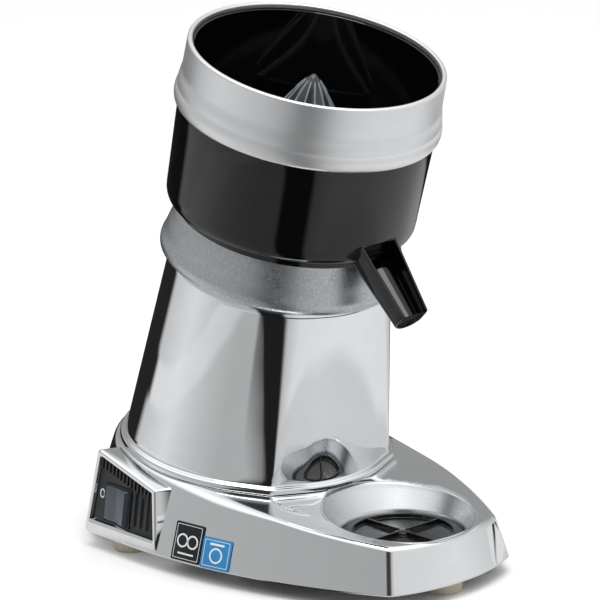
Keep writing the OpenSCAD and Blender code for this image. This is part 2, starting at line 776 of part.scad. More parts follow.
module bowl_ring() {
    r0 = ring_r - ring_wall - fit;
    color("lightgray") on_axis() rotate_extrude($fn = 128) polygon([
        [r0, shoulder_h + 0.05], [ring_r + 0.6, shoulder_h + 0.05],
        [ring_r + ring_bulge * 0.8, shoulder_h + 2], [ring_r + ring_bulge, shoulder_h + 5],
        [ring_r + ring_bulge, shoulder_h + 8], [ring_r + ring_bulge * 0.8, shoulder_h + 11],
        [ring_r + ring_bulge * 0.5, shoulder_h + 15], [ring_r + 0.4, shoulder_h + 21],
        [ring_r, bowl_top + 1], [ring_r - 0.5, bowl_top + 3],
        [ring_r - 1.6, bowl_top + 3.6], [r0 - 1, bowl_top + 3], [r0 - 1, bowl_top + fit],
        [r0, bowl_top + fit]]);
}

module strainer() {
    rim_r = bowl_r - bowl_wall - 1;
    hole_r = neck_r + 1.5 + 3 + 0.8;
    floor_h = strainer_h + 0.05;
    color("gainsboro") on_axis() difference() {
        rotate_extrude($fn = 128) polygon([
            [hole_r, floor_h], [rim_r, floor_h], [rim_r, floor_h + 9], [rim_r - 1.5, floor_h + 9],
            [rim_r - 1.5, floor_h + strainer_t], [hole_r, floor_h + strainer_t]]);
        for (i = [0:strainer_slots - 1]) rotate([0, 0, i * 360 / strainer_slots]) {
            translate([rim_r - 32, -1.2, floor_h - 1]) cube([26, 2.4, strainer_t + 2]);
        }
        ring_of(24, hole_r + 12) translate([0, 0, floor_h - 1]) cylinder(h = strainer_t + 2, r = 1.5, $fn = 24);
    }
}

module squeezer() {
    height = squeezer_tip - squeezer_h0;
    cone = [for (i = [0:10]) let (t = i / 10)
        [squeezer_r * pow(1 - t, 0.68) * (1 - 0.25 * t) - 1.2 * (1 - t), squeezer_h0 + 3 + (height - 3) * t]];
    hollow_r = neck_r + 1.5 + 3 + 1.5;
    color("lightgray") on_axis() difference() {
        union() {
            rotate_extrude($fn = 96) polygon(concat([[0, squeezer_h0 + 3]], cone));
            translate([0, 0, squeezer_h0]) cylinder(h = 3 + eps, r = squeezer_r, $fn = 96);
            // ribs that ream the fruit
            for (i = [0:squeezer_ribs - 1]) rotate([90, 0, i * 360 / squeezer_ribs])
                translate([0, 0, -0.8]) linear_extrude(height = 1.6) polygon(concat(
                    [[cone[0][0] / 2, cone[0][1] + 1], [cone[0][0] + 1, cone[0][1] + 1]],
                    [for (k = [1:8]) [cone[k][0] + 1.7, cone[k][1]]],
                    [[cone[8][0] / 2, cone[8][1] + 1]]));
        }
        // room for the bowl's chimney
        translate([0, 0, squeezer_h0 - 1]) cylinder(h = pin_h - squeezer_h0 - 3, r = hollow_r, $fn = 96);
        // socket for the spindle, and the slot that drops over its pin
        translate([0, 0, squeezer_h0 - 1]) cylinder(h = spindle_top + 3 - squeezer_h0, r = spindle_r + fit, $fn = 96);
        translate([-pin_half - 1, -pin_r - fit, squeezer_h0 - 1])
            cube([2 * pin_half + 2, 2 * (pin_r + fit), pin_h + pin_r + fit - squeezer_h0 + 1]);
    }
}

base_casting();
bottom_plate();
bottom_screws();
feet();
foot_screws();
tower_housing();
motor_cover();
cover_screws();
shaft_seal();
upper_end_shield();
lower_end_shield();
stator_core();
stator_windings();
motor_tie_bolts();
motor_screws();
upper_bearing();
lower_bearing();
motor_shaft();
rotor_core();
cooling_fan();
drive_pin();
capacitor();
capacitor_clip();
terminal_block();
cable_gland();
switch_housing();
switch_plate();
switch_body();
rocker();
dish_lining();
glass_rest();
black_label();
blue_label();
bowl();
bowl_ring();
strainer();
squeezer();
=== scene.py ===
"""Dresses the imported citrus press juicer: its visible pieces, their finishes and the studio.

Lengths in the classes are millimetres in the model's own frame: +Z up, the glass side towards -Y,
the switch on the -X side, and the motor axis where the rotor's joint puts it.
"""

import json
import logging
import math
from collections.abc import Callable, Iterable, Sequence
from dataclasses import dataclass, field
from enum import Enum

import bmesh
import bpy
import numpy as np
from mathutils import Matrix, Vector
from mathutils.geometry import delaunay_2d_cdt


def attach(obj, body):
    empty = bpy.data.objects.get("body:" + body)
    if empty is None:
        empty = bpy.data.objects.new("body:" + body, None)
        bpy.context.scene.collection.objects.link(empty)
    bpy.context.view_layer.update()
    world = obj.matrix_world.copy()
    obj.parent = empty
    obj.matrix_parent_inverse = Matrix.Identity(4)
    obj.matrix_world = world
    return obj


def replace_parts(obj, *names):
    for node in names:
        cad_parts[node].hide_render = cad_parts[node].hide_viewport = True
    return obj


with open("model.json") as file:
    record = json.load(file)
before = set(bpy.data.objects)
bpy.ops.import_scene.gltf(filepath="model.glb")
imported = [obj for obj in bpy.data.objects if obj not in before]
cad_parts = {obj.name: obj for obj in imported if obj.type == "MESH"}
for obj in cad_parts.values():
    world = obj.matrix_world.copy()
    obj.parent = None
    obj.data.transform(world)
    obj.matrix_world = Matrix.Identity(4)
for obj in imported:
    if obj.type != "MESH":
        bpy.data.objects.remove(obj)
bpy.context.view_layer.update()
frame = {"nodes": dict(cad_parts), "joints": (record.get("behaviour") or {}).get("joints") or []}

log = logging.getLogger("juicer")
MM = 0.001
Flat = tuple[float, float]
Solid = tuple[float, float, float]


# ---------------------------------------------------------------- small geometry


def tan(degrees: float) -> float:
    """Tangent of an angle in degrees."""
    return math.tan(math.radians(degrees))


def even_turns(count: int) -> list[float]:
    """Angles, in radians, of count even steps round a full turn."""
    return [2 * math.pi * k / count for k in range(count)]


def ease(t: float) -> float:
    """Smooth rise from 0 to 1 as t goes from 0 to 1, flat outside."""
    t = min(1.0, max(0.0, t))
    return t * t * (3.0 - 2.0 * t)


def motor_axis() -> Matrix:
    """Placement, in metres, of the leaning motor axis, read from the rotor's joint."""
    joint = next(j for j in frame["joints"] if j["name"] == "rotor_spin")
    turn = Vector((0.0, 0.0, 1.0)).rotation_difference(Vector(joint["axis"]))
    return Matrix.Translation(joint["pos_m"]) @ turn.to_matrix().to_4x4()


def rounded(corners: Sequence[Solid], steps: int = 5, closed: bool = True) -> list[Flat]:
    """Rounds the corners of an outline.

    Args:
        corners: each corner as (x, y, radius); a radius of 0 leaves it sharp.
        steps: pieces in each rounding.
        closed: whether the last corner joins the first.

    Returns:
        The outline's points, in order.
    """
    out: list[Flat] = []
    count = len(corners)
    for i, (x, y, radius) in enumerate(corners):
        here = Vector((x, y))
        inner = closed or 0 < i < count - 1
        if radius <= 0 or not inner:
            out.append((x, y))
            continue
        before = Vector(corners[i - 1][:2]) - here
        after = Vector(corners[(i + 1) % count][:2]) - here
        half = before.angle(after) / 2
        cut = min(radius / math.tan(half), 0.49 * before.length, 0.49 * after.length)
        centre = here + (before.normalized() + after.normalized()).normalized() * (cut / math.cos(half))
        start = here + before.normalized() * cut - centre
        end = here + after.normalized() * cut - centre
        sweep = math.atan2(start.x * end.y - start.y * end.x, start.dot(end))
        for k in range(steps + 1):
            a = sweep * k / steps
            out.append((
                centre.x + start.x * math.cos(a) - start.y * math.sin(a),
                centre.y + start.x * math.sin(a) + start.y * math.cos(a),
            ))
    return out


def flowing(points: Sequence[Flat], steps: int = 5) -> list[Flat]:
    """Runs a smooth open curve through points, with steps pieces between each two."""
    p = [Vector(q) for q in points]
    p = [2 * p[0] - p[1], *p, 2 * p[-1] - p[-2]]
    out: list[Flat] = []
    for i in range(1, len(p) - 2):
        for k in range(steps):
            t = k / steps
            q = 0.5 * ((2 * p[i]) + (p[i + 1] - p[i - 1]) * t
                       + (2 * p[i - 1] - 5 * p[i] + 4 * p[i + 1] - p[i + 2]) * t ** 2
                       + (3 * p[i] - p[i - 1] - 3 * p[i + 1] + p[i + 2]) * t ** 3)
            out.append((q.x, q.y))
    return [*out, tuple(points[-1])]


def inset(polygon: Sequence[Flat], distance: float) -> list[Flat]:
    """Sets a convex outline in by a distance; it runs anticlockwise."""
    out: list[Flat] = []
    count = len(polygon)
    for i in range(count):
        a, b, c = (Vector(polygon[(i + k) % count]) for k in (-1, 0, 1))
        one, two = (b - a).normalized(), (c - b).normalized()
        left_one, left_two = Vector((-one.y, one.x)), Vector((-two.y, two.x))
        middle = (left_one + left_two).normalized()
        out.append(tuple(b + middle * (distance / middle.dot(left_two))))
    return out


class Shell:
    """Collects the points and faces of one closed piece, in millimetres."""

    def __init__(self) -> None:
        """Starts with nothing."""
        self.points: list[Vector] = []
        self.faces: list[tuple[int, ...]] = []

    def ring(self, points: Iterable[Sequence[float]]) -> list[int]:
        """Adds a row of points and returns their numbers."""
        first = len(self.points)
        self.points.extend(Vector(p) for p in points)
        return list(range(first, len(self.points)))

    def bridge(self, low: Sequence[int], high: Sequence[int], closed: bool = True,
               skip: Callable[[int], bool] = lambda i: False) -> None:
        """Joins two rows of equal length with four-sided faces.

        Args:
            low: one row of point numbers.
            high: the other row.
            closed: whether each row is a loop.
            skip: says which faces to leave out, by their place in the row.
        """
        count = len(low)
        for i in range(count if closed else count - 1):
            if not skip(i):
                k = (i + 1) % count
                self.faces.append((low[i], low[k], high[k], high[i]))

    def loft(self, rows: Sequence[Iterable[Sequence[float]]], ends: bool = True) -> None:
        """Runs a skin through closed rows; ends closes it with a face each end, otherwise it joins up."""
        rings = [self.ring(r) for r in rows]
        for low, high in zip(rings, rings[1:]):
            self.bridge(low, high)
        if ends:
            self.faces.extend((tuple(rings[0]), tuple(rings[-1])))
        else:
            self.bridge(rings[-1], rings[0])

    def lathe(self, profile: Sequence[Flat], segments: int = 160, centre: Flat = (0.0, 0.0)) -> None:
        """Turns a closed profile of (radius, height) about an upright axis through centre."""
        turns = even_turns(segments)
        self.loft([[(centre[0] + r * math.cos(a), centre[1] + r * math.sin(a), h) for a in turns]
                   for r, h in profile], ends=False)

    def build(self, name: str, place: Matrix | None = None, crease: float = 38.0) -> bpy.types.Object:
        """Makes the piece.

        Args:
            name: the piece's name.
            place: where it stands, in metres; its own place when left out.
            crease: edges sharper than this many degrees stay sharp in the shading.

        Returns:
            An object at the origin, with its place in its mesh.
        """
        mesh = bpy.data.meshes.new(name)
        mesh.from_pydata([tuple(p * MM) for p in self.points], [], self.faces)
        work = bmesh.new()
        work.from_mesh(mesh)
        bmesh.ops.remove_doubles(work, verts=work.verts, dist=1e-6)
        bmesh.ops.dissolve_degenerate(work, edges=work.edges, dist=1e-7)
        bmesh.ops.recalc_face_normals(work, faces=work.faces)
        work.to_mesh(mesh)
        work.free()
        return shown(name, mesh, place, crease)


def shown(name: str, mesh: bpy.types.Mesh, place: Matrix | None = None,
          crease: float = 38.0) -> bpy.types.Object:
    """Puts a mesh into the scene as a smooth-shaded piece at the origin.

    Args:
        name: the piece's name.
        mesh: its mesh, in metres.
        place: moved into the mesh when given.
        crease: edges sharper than this many degrees stay sharp.

    Returns:
        The new object.
    """
    if place is not None:
        mesh.transform(place)
    mesh.shade_smooth()
    mesh.set_sharp_from_angle(angle=math.radians(crease))
    piece = bpy.data.objects.new(name, mesh)
    bpy.context.scene.collection.objects.link(piece)
    return piece


def baked(piece: bpy.types.Object, crease: float = 38.0) -> bpy.types.Object:
    """Turns a piece and its modifiers into a plain mesh with the modifiers gone."""
    bpy.context.view_layer.update()
    graph = bpy.context.evaluated_depsgraph_get()
    mesh = bpy.data.meshes.new_from_object(piece.evaluated_get(graph))
    piece.modifiers.clear()
    piece.data = mesh
    mesh.shade_smooth()
    mesh.set_sharp_from_angle(angle=math.radians(crease))
    return piece


def softened(node: str, width: float, name: str, crease: float = 34.0) -> bpy.types.Object:
    """Copies a CAD node with its loose triangles merged and its sharp edges rounded.

    Args:
        node: the CAD node that the copy stands for.
        width: width of the rounding, in millimetres.
        name: name of the copy.
        crease: edges sharper than this many degrees are rounded.

    Returns:
        The copy, as a plain mesh.
    """
    mesh = frame["nodes"][node].data.copy()
    mesh.materials.clear()
    work = bmesh.new()
    work.from_mesh(mesh)
    bmesh.ops.remove_doubles(work, verts=work.verts, dist=2e-6)
    bmesh.ops.dissolve_limit(work, angle_limit=math.radians(0.4), verts=work.verts, edges=work.edges)
    work.to_mesh(mesh)
    work.free()
    piece = shown(name, mesh)
    bevel = piece.modifiers.new("rounding", "BEVEL")
    bevel.width = width * MM
    bevel.segments = 2
    bevel.limit_method = "ANGLE"
    bevel.angle_limit = math.radians(crease)
    bevel.use_clamp_overlap = True
    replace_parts(baked(piece), node)
    return piece


# ---------------------------------------------------------------- finishes


def linear(code: str) -> tuple[float, float, float, float]:
    """Turns an sRGB hex colour such as C0C4C8 into the linear colour a shader wants."""
    parts = [int(code[i:i + 2], 16) / 255 for i in (0, 2, 4)]
    return (*(c / 12.92 if c <= 0.04045 else ((c + 0.055) / 1.055) ** 2.4 for c in parts), 1.0)


def add(tree: bpy.types.NodeTree, kind: str, settings: dict[str, object] | None = None,
        values: dict[str | int, object] | None = None) -> bpy.types.Node:
    """Adds one node.

    Args:
        tree: the node tree.
        kind: the node's type.
        settings: its properties.
        values: for each input, either a plain value or the output socket that feeds it.

    Returns:
        The node.
    """
    node = tree.nodes.new(kind)
    for key, value in (settings or {}).items():
        setattr(node, key, value)
    for key, value in (values or {}).items():
        if isinstance(value, bpy.types.NodeSocket):
            tree.links.new(value, node.inputs[key])
        else:
            node.inputs[key].default_value = value
    return node


def calc(tree: bpy.types.NodeTree, operation: str, *values: object) -> bpy.types.NodeSocket:
    """Adds a calculation on plain values or sockets and returns its result."""
    return add(tree, "ShaderNodeMath", {"operation": operation}, dict(enumerate(values))).outputs[0]


def blend(tree: bpy.types.NodeTree, share: object, one: object, two: object) -> bpy.types.NodeSocket:
    """Adds a colour that goes from one to two as share goes from 0 to 1."""
    return add(tree, "ShaderNodeMix", {"data_type": "RGBA"}, {0: share, 6: one, 7: two}).outputs[2]


def fade(tree: bpy.types.NodeTree, value: object, start: float, end: float) -> bpy.types.NodeSocket:
    """Adds a smooth rise from 0 to 1 as value goes from start to end."""
    return add(tree, "ShaderNodeMapRange", {"interpolation_type": "SMOOTHSTEP"},
               {"Value": value, "From Min": start, "From Max": end}).outputs[0]


class Grain(Enum):
    """How a surface was made, which decides the pattern its roughness and bump follow."""

    TURNED = "fine rings round an axis, left by a lathe tool or by spinning"
    BLASTED = "even grains, left by sand or shot"
    POLISHED = "slow waves of a buffed casting"
    MOULDED = "a faint texture from the mould"


@dataclass(frozen=True)
class Finish:
    """A surface finish: a material and how its surface was made.

    The colours are sRGB hex codes; grain is the size of one grain or line in millimetres, relief how
    deep it is in millimetres, and swing how far the roughness strays to each side.
    """

    name: str
    colour: str
    shade: str
    metallic: float = 0.0
    roughness: float = 0.4
    swing: float = 0.05
    grain: float = 1.0
    relief: float = 0.01
    made: Grain = Grain.MOULDED
    centre: Solid = (0.0, 0.0, 0.0)
    axis: Solid = (0.0, 0.0, 1.0)
    patch: float = 18.0
    ior: float = 1.5
    coat: float = 0.0
    clear: float = 0.0

    def material(self) -> bpy.types.Material:
        """The finish as a node material; made once and then shared."""
        known = bpy.data.materials.get(self.name)
        if known:
            return known
        made = bpy.data.materials.new(self.name)
        made.use_nodes = True
        tree = made.node_tree
        tree.nodes.clear()
        where = add(tree, "ShaderNodeTexCoord").outputs["Object"]
        # one grain per noise cell: cells per metre = 1000 / grain in millimetres
        grains = self._grains(tree, where)
        patches = add(tree, "ShaderNodeTexNoise", None,
                      {"Vector": where, "Scale": 1000 / self.patch, "Detail": 3.0, "Roughness": 0.55})
        tone = blend(tree, patches.outputs["Fac"], linear(self.colour), linear(self.shade))
        slow = calc(tree, "MULTIPLY", patches.outputs["Fac"], 0.4)
        both = calc(tree, "MULTIPLY_ADD", grains, 0.6, slow)
        rough = add(tree, "ShaderNodeMapRange", None,
                    {"Value": both, "From Min": 0.3, "From Max": 0.7,
                     "To Min": max(0.0, self.roughness - self.swing), "To Max": self.roughness + self.swing})
        bump = add(tree, "ShaderNodeBump", None,
                   {"Height": grains, "Strength": 1.0, "Distance": self.relief * MM})
        shader = add(tree, "ShaderNodeBsdfPrincipled", None,
                     {"Base Color": tone, "Metallic": self.metallic,
                      "Roughness": rough.outputs[0], "Normal": bump.outputs[0],
                      "Coat Weight": self.coat, "Coat Roughness": 0.04,
                      "Transmission Weight": self.clear})
        if self.metallic < 0.5:
            shader.inputs["IOR"].default_value = self.ior
        add(tree, "ShaderNodeOutputMaterial", None, {"Surface": shader.outputs[0]})
        return made

    def _grains(self, tree: bpy.types.NodeTree, where: bpy.types.NodeSocket) -> bpy.types.NodeSocket:
        """The height pattern that the surface's making leaves, from 0 to 1."""
        scale = 1000 / self.grain
        if self.made is Grain.TURNED:
            # rings: the pattern follows height along the axis plus distance from it
            away = add(tree, "ShaderNodeVectorMath", {"operation": "SUBTRACT"},
                       {0: where, 1: tuple(c * MM for c in self.centre)})
            along = add(tree, "ShaderNodeVectorMath", {"operation": "DOT_PRODUCT"},
                        {0: away.outputs[0], 1: self.axis})
            cross = add(tree, "ShaderNodeVectorMath", {"operation": "CROSS_PRODUCT"},
                        {0: away.outputs[0], 1: self.axis})
            radius = add(tree, "ShaderNodeVectorMath", {"operation": "LENGTH"}, {0: cross.outputs[0]})
            run = calc(tree, "ADD", along.outputs["Value"], radius.outputs["Value"])
            noise = add(tree, "ShaderNodeTexNoise", {"noise_dimensions": "1D"},
                        {"W": run, "Scale": scale, "Detail": 4.0, "Roughness": 0.7})
            return noise.outputs["Fac"]
        detail = {Grain.BLASTED: 2.0, Grain.POLISHED: 1.0, Grain.MOULDED: 2.5}[self.made]
        noise = add(tree, "ShaderNodeTexNoise", None,
                    {"Vector": where, "Scale": scale, "Detail": detail, "Roughness": 0.55})
        return noise.outputs["Fac"]


LEAN_AXIS: Solid = tuple(motor_axis().to_3x3() @ Vector((0.0, 0.0, 1.0)))
LEAN_POINT: Solid = tuple(c / MM for c in motor_axis().translation)

# Polished cast aluminium under chrome plate: a near mirror whose reflections waver slightly
CHROME = Finish("chrome_plated_casting", "E9EBEC", "DFE1E3", 1.0, 0.035, 0.02, 42.0, 0.14, Grain.POLISHED)
# Turned and satin-finished aluminium: bright, with fine rings that stretch highlights upwards
RING_METAL = Finish("turned_aluminium", "F1F2F3", "E6E8EA", 1.0, 0.42, 0.03, 0.55, 0.0015, Grain.TURNED,
                    LEAN_POINT, LEAN_AXIS)
# Spun aluminium, satin, for the glass dish
DISH_METAL = Finish("spun_aluminium", "DADDE0", "CACED2", 1.0, 0.27, 0.06, 0.8, 0.004, Grain.TURNED,
                    (0.0, -97.0, 0.0), (0.0, 0.0, 1.0))
# Shot-blasted cast aluminium: dull grey with a coarse sparkle from grains of 0.9 mm
CAST_METAL = Finish("blasted_cast_aluminium", "D4D8DB", "A4A9AD", 1.0, 0.36, 0.12, 0.9, 0.09, Grain.BLASTED,
                    patch=1.8)
# Injection-moulded polycarbonate, gloss black: deep black under a mirror-like skin
BOWL_BLACK = Finish("gloss_black_polycarbonate", "060708", "090A0B", 0.0, 0.055, 0.02, 30.0, 0.006,
                    Grain.MOULDED, ior=1.5)
# Moulded ABS with a fine spark-eroded texture, for the switch panel and the glass rest
MATT_BLACK = Finish("textured_black_abs", "121416", "1B1E21", 0.0, 0.42, 0.08, 0.7, 0.02, Grain.MOULDED,
                    ior=1.53)
# Gloss moulding of the glass rest
REST_BLACK = Finish("gloss_black_rest", "08090A", "0C0D0F", 0.0, 0.2, 0.05, 3.0, 0.008, Grain.MOULDED,
                    ior=1.5)
# Smoke-tinted styrene: see-through grey with glossy ribs
SMOKE = Finish("smoked_styrene", "6E757B", "5F666C", 0.0, 0.07, 0.03, 9.0, 0.01, Grain.MOULDED,
               ior=1.57, clear=0.75)
# The same styrene on the ribs, with a paler colour as a painted highlight for the light they catch; the ribs
# also show less of what is behind
SMOKE_RIBS_PAINTED_HIGHLIGHT = Finish("smoked_styrene_ribs_painted_highlight", "D5DADE", "C3C9CE", 0.0, 0.08, 0.03, 9.0, 0.01, Grain.MOULDED,
                    ior=1.57, clear=0.35)
# Moulded grey-blue polyamide of a mains rocker
ROCKER_GREY = Finish("grey_blue_polyamide", "474F59", "3B434C", 0.0, 0.22, 0.05, 6.0, 0.01, Grain.MOULDED,
                     ior=1.53)
# Moulded non-slip rubber, beige, slightly chalky
FOOT_RUBBER = Finish("beige_rubber", "BDB4A2", "A89F8D", 0.0, 0.72, 0.1, 1.2, 0.05, Grain.MOULDED,
                     patch=6.0, ior=1.52)
BLACK_RUBBER = Finish("black_rubber", "17181A", "202224", 0.0, 0.68, 0.08, 1.0, 0.03, Grain.MOULDED)
# Printed polyester film: flat colour under a clear, slightly orange-peeled skin
FILM_BLACK = Finish("black_polyester_film", "0C0E10", "111316", 0.0, 0.2, 0.04, 2.2, 0.006, Grain.MOULDED)
FILM_BLUE = Finish("blue_polyester_film", "2F86BE", "2A7CB2", 0.0, 0.22, 0.04, 2.2, 0.006, Grain.MOULDED)
INK_WHITE = Finish("white_screen_ink", "E8ECEE", "DCE0E3", 0.0, 0.4, 0.05, 1.2, 0.01, Grain.MOULDED)
# Rolled stainless steel sheet for the strainer
STAINLESS = Finish("rolled_stainless_steel", "C9CBCC", "B9BBBD", 1.0, 0.24, 0.06, 0.8, 0.006, Grain.MOULDED)
# Ground carbon steel for shafts and bearings
GROUND_STEEL = Finish("ground_steel", "B5B8BA", "A4A8AB", 1.0, 0.2, 0.06, 0.6, 0.003, Grain.TURNED,
                      LEAN_POINT, LEAN_AXIS)
ZINC = Finish("zinc_plated_steel", "C4C8C6", "A9AFB0", 1.0, 0.34, 0.1, 1.5, 0.02, Grain.BLASTED)
DIE_CAST = Finish("die_cast_aluminium", "B4B8BA", "9DA1A4", 1.0, 0.42, 0.08, 1.6, 0.05, Grain.BLASTED)
CORE_STEEL = Finish("laminated_core_steel", "6C7075", "55595D", 1.0, 0.45, 0.1, 0.5, 0.05, Grain.TURNED,
                    LEAN_POINT, LEAN_AXIS)
COPPER = Finish("varnished_copper_wire", "B4622F", "8F4A22", 1.0, 0.3, 0.1, 0.9, 0.15, Grain.TURNED,
                LEAN_POINT, LEAN_AXIS)
NYLON = Finish("white_nylon", "E2E0D8", "D2D0C8", 0.0, 0.45, 0.08, 1.5, 0.02, Grain.MOULDED)
SHEET_STEEL = Finish("grey_enamelled_sheet", "4A4D50", "3E4144", 0.0, 0.5, 0.08, 1.0, 0.03, Grain.MOULDED)


def dress(piece: bpy.types.Object, finish: Finish, body: str, slot: str,
          *nodes: str) -> bpy.types.Object:
    """Gives a new piece its finish, the body it rides on and the CAD nodes it stands for.

    Args:
        piece: the piece.
        finish: its finish.
        body: the CAD body it moves with.
        slot: the record's material slot it belongs to; not used.
        nodes: the CAD nodes it replaces.

    Returns:
        The piece.
    """
    piece.data.materials.clear()
    piece.data.materials.append(finish.material())
    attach(piece, body)
    if nodes:
        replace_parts(piece, *nodes)
    return piece


# ---------------------------------------------------------------- repeats


@dataclass
class Repeat:
    """Copies one small mesh in a ring or a row with a node tree, then keeps only the plain result."""

    count: int
    turn: float = 0.0
    start: float = 0.0
    step: Solid = (0.0, 0.0, 0.0)

    def tree(self) -> bpy.types.NodeTree:
        """The shared tree: points on the spot, turned and shifted by their number, each with a copy."""
        known = bpy.data.node_groups.get("repeat_in_ring_or_row")
        if known:
            return known
        tree = bpy.data.node_groups.new("repeat_in_ring_or_row", "GeometryNodeTree")
        face = tree.interface
        face.new_socket("Geometry", in_out="INPUT", socket_type="NodeSocketGeometry")
        face.new_socket("Count", in_out="INPUT", socket_type="NodeSocketInt")
        face.new_socket("Turn", in_out="INPUT", socket_type="NodeSocketFloat")
        face.new_socket("Start", in_out="INPUT", socket_type="NodeSocketFloat")
        face.new_socket("Step", in_out="INPUT", socket_type="NodeSocketVector")
        face.new_socket("Material", in_out="INPUT", socket_type="NodeSocketMaterial")
        face.new_socket("Geometry", in_out="OUTPUT", socket_type="NodeSocketGeometry")
        entry = add(tree, "NodeGroupInput")
        number = add(tree, "GeometryNodeInputIndex").outputs[0]
        shift = add(tree, "ShaderNodeVectorMath", {"operation": "SCALE"},
                    {0: entry.outputs["Step"], "Scale": number})
        points = add(tree, "GeometryNodePoints", None, {"Count": entry.outputs["Count"]})
        moved = add(tree, "GeometryNodeSetPosition", None,
                    {"Geometry": points.outputs[0], "Offset": shift.outputs[0]})
        angle = calc(tree, "MULTIPLY_ADD", number, entry.outputs["Turn"], entry.outputs["Start"])
        turned = add(tree, "ShaderNodeCombineXYZ", None, {"Z": angle})
        copies = add(tree, "GeometryNodeInstanceOnPoints", None,
                     {"Points": moved.outputs[0], "Instance": entry.outputs["Geometry"],
                      "Rotation": turned.outputs[0]})
        real = add(tree, "GeometryNodeRealizeInstances", None, {"Geometry": copies.outputs[0]})
        painted = add(tree, "GeometryNodeSetMaterial", None,
                      {"Geometry": real.outputs[0], "Material": entry.outputs["Material"]})
        add(tree, "NodeGroupOutput", None, {0: painted.outputs[0]})
        return tree

    def run(self, piece: bpy.types.Object, finish: Finish, place: Matrix | None = None,
            crease: float = 38.0) -> bpy.types.Object:
        """Repeats a piece and bakes it.

        Args:
            piece: the one small mesh, about the origin.
            finish: the copies' finish.
            place: where the whole set stands, in metres.
            crease: edges sharper than this many degrees stay sharp.

        Returns:
            The same object, holding every copy as one plain mesh.
        """
        modifier = piece.modifiers.new("repeat", "NODES")
        modifier.node_group = self.tree()
        inputs = {"Count": self.count, "Turn": math.radians(self.turn), "Start": math.radians(self.start),
                  "Step": tuple(c * MM for c in self.step), "Material": finish.material()}
        for item in modifier.node_group.interface.items_tree:
            if item.in_out == "INPUT" and item.name in inputs:
                modifier[item.identifier] = inputs[item.name]
        baked(piece, crease)
        if place is not None:
            piece.data.transform(place)
        return piece


# ---------------------------------------------------------------- the tower's foot


@dataclass
class TowerFoot:
    """Outline of the tower's foot: a round rear, slacker sides and a slightly bowed front."""

    rear: Solid = (0.0, 40.0, 86.0)
    side: Solid = (22.5, 15.0, 52.0)
    corner_r: float = 10.0
    corner_x: float = 47.0
    front_y: float = -37.0
    bow: float = 4.0

    def support(self, angle: float) -> tuple[int, Vector, Vector]:
        """The outline's furthest point in a direction.

        Args:
            angle: the direction, in radians from +X.

        Returns:
            Which arc it lies on, the point, and the direction.
        """
        n = Vector((math.cos(angle), math.sin(angle)))
        across = 1.0 if n.y >= 0 else max(-1.0, min(1.0, self.corner_x * (n.x / -n.y) / (2 * self.bow)))
        across = math.copysign(1.0, n.x) if n.y >= 0 else across
        arcs = [
            (Vector(self.rear[:2]), self.rear[2]),
            (Vector((self.side[0], self.side[1])), self.side[2]),
            (Vector((-self.side[0], self.side[1])), self.side[2]),
            (Vector((across * self.corner_x, self.front_y + self.corner_r + self.bow * across ** 2)),
             self.corner_r),
        ]
        best = max(range(4), key=lambda k: arcs[k][0].dot(n) + arcs[k][1])
        return best, arcs[best][0] + arcs[best][1] * n, n

    def stations(self, step: float = 1.5, flat: float = 4.0) -> list[tuple[Vector, Vector, float]]:
        """The outline as (point, outward direction, angle), with its straight stretches divided."""
        out: list[tuple[Vector, Vector, float]] = []
        count = round(360 / step)
        marks = [self.support(math.radians(-90 + k * step)) for k in range(count)]
        for k, (arc, point, n) in enumerate(marks):
            angle = math.radians(-90 + k * step)
            out.append((point, n, angle))
            other, after, m = marks[(k + 1) % count]
            parts = int((after - point).length / flat) if other != arc else 0
            for j in range(1, parts + 1):
                t = j / (parts + 1)
                out.append((point.lerp(after, t), n.lerp(m, t).normalized(),
                            angle + math.radians(step) * t))
        return out

    def distance(self, points: np.ndarray) -> np.ndarray:
        """How far points lie outside the outline; negative within it."""
        turns = np.linspace(0, 2 * np.pi, 361)[:-1]
        normals = np.array([(math.cos(a), math.sin(a)) for a in turns])
        reach = np.array([self.support(a)[1].dot(self.support(a)[2]) for a in turns])
        return (points @ normals.T - reach).max(axis=1)


# ---------------------------------------------------------------- base


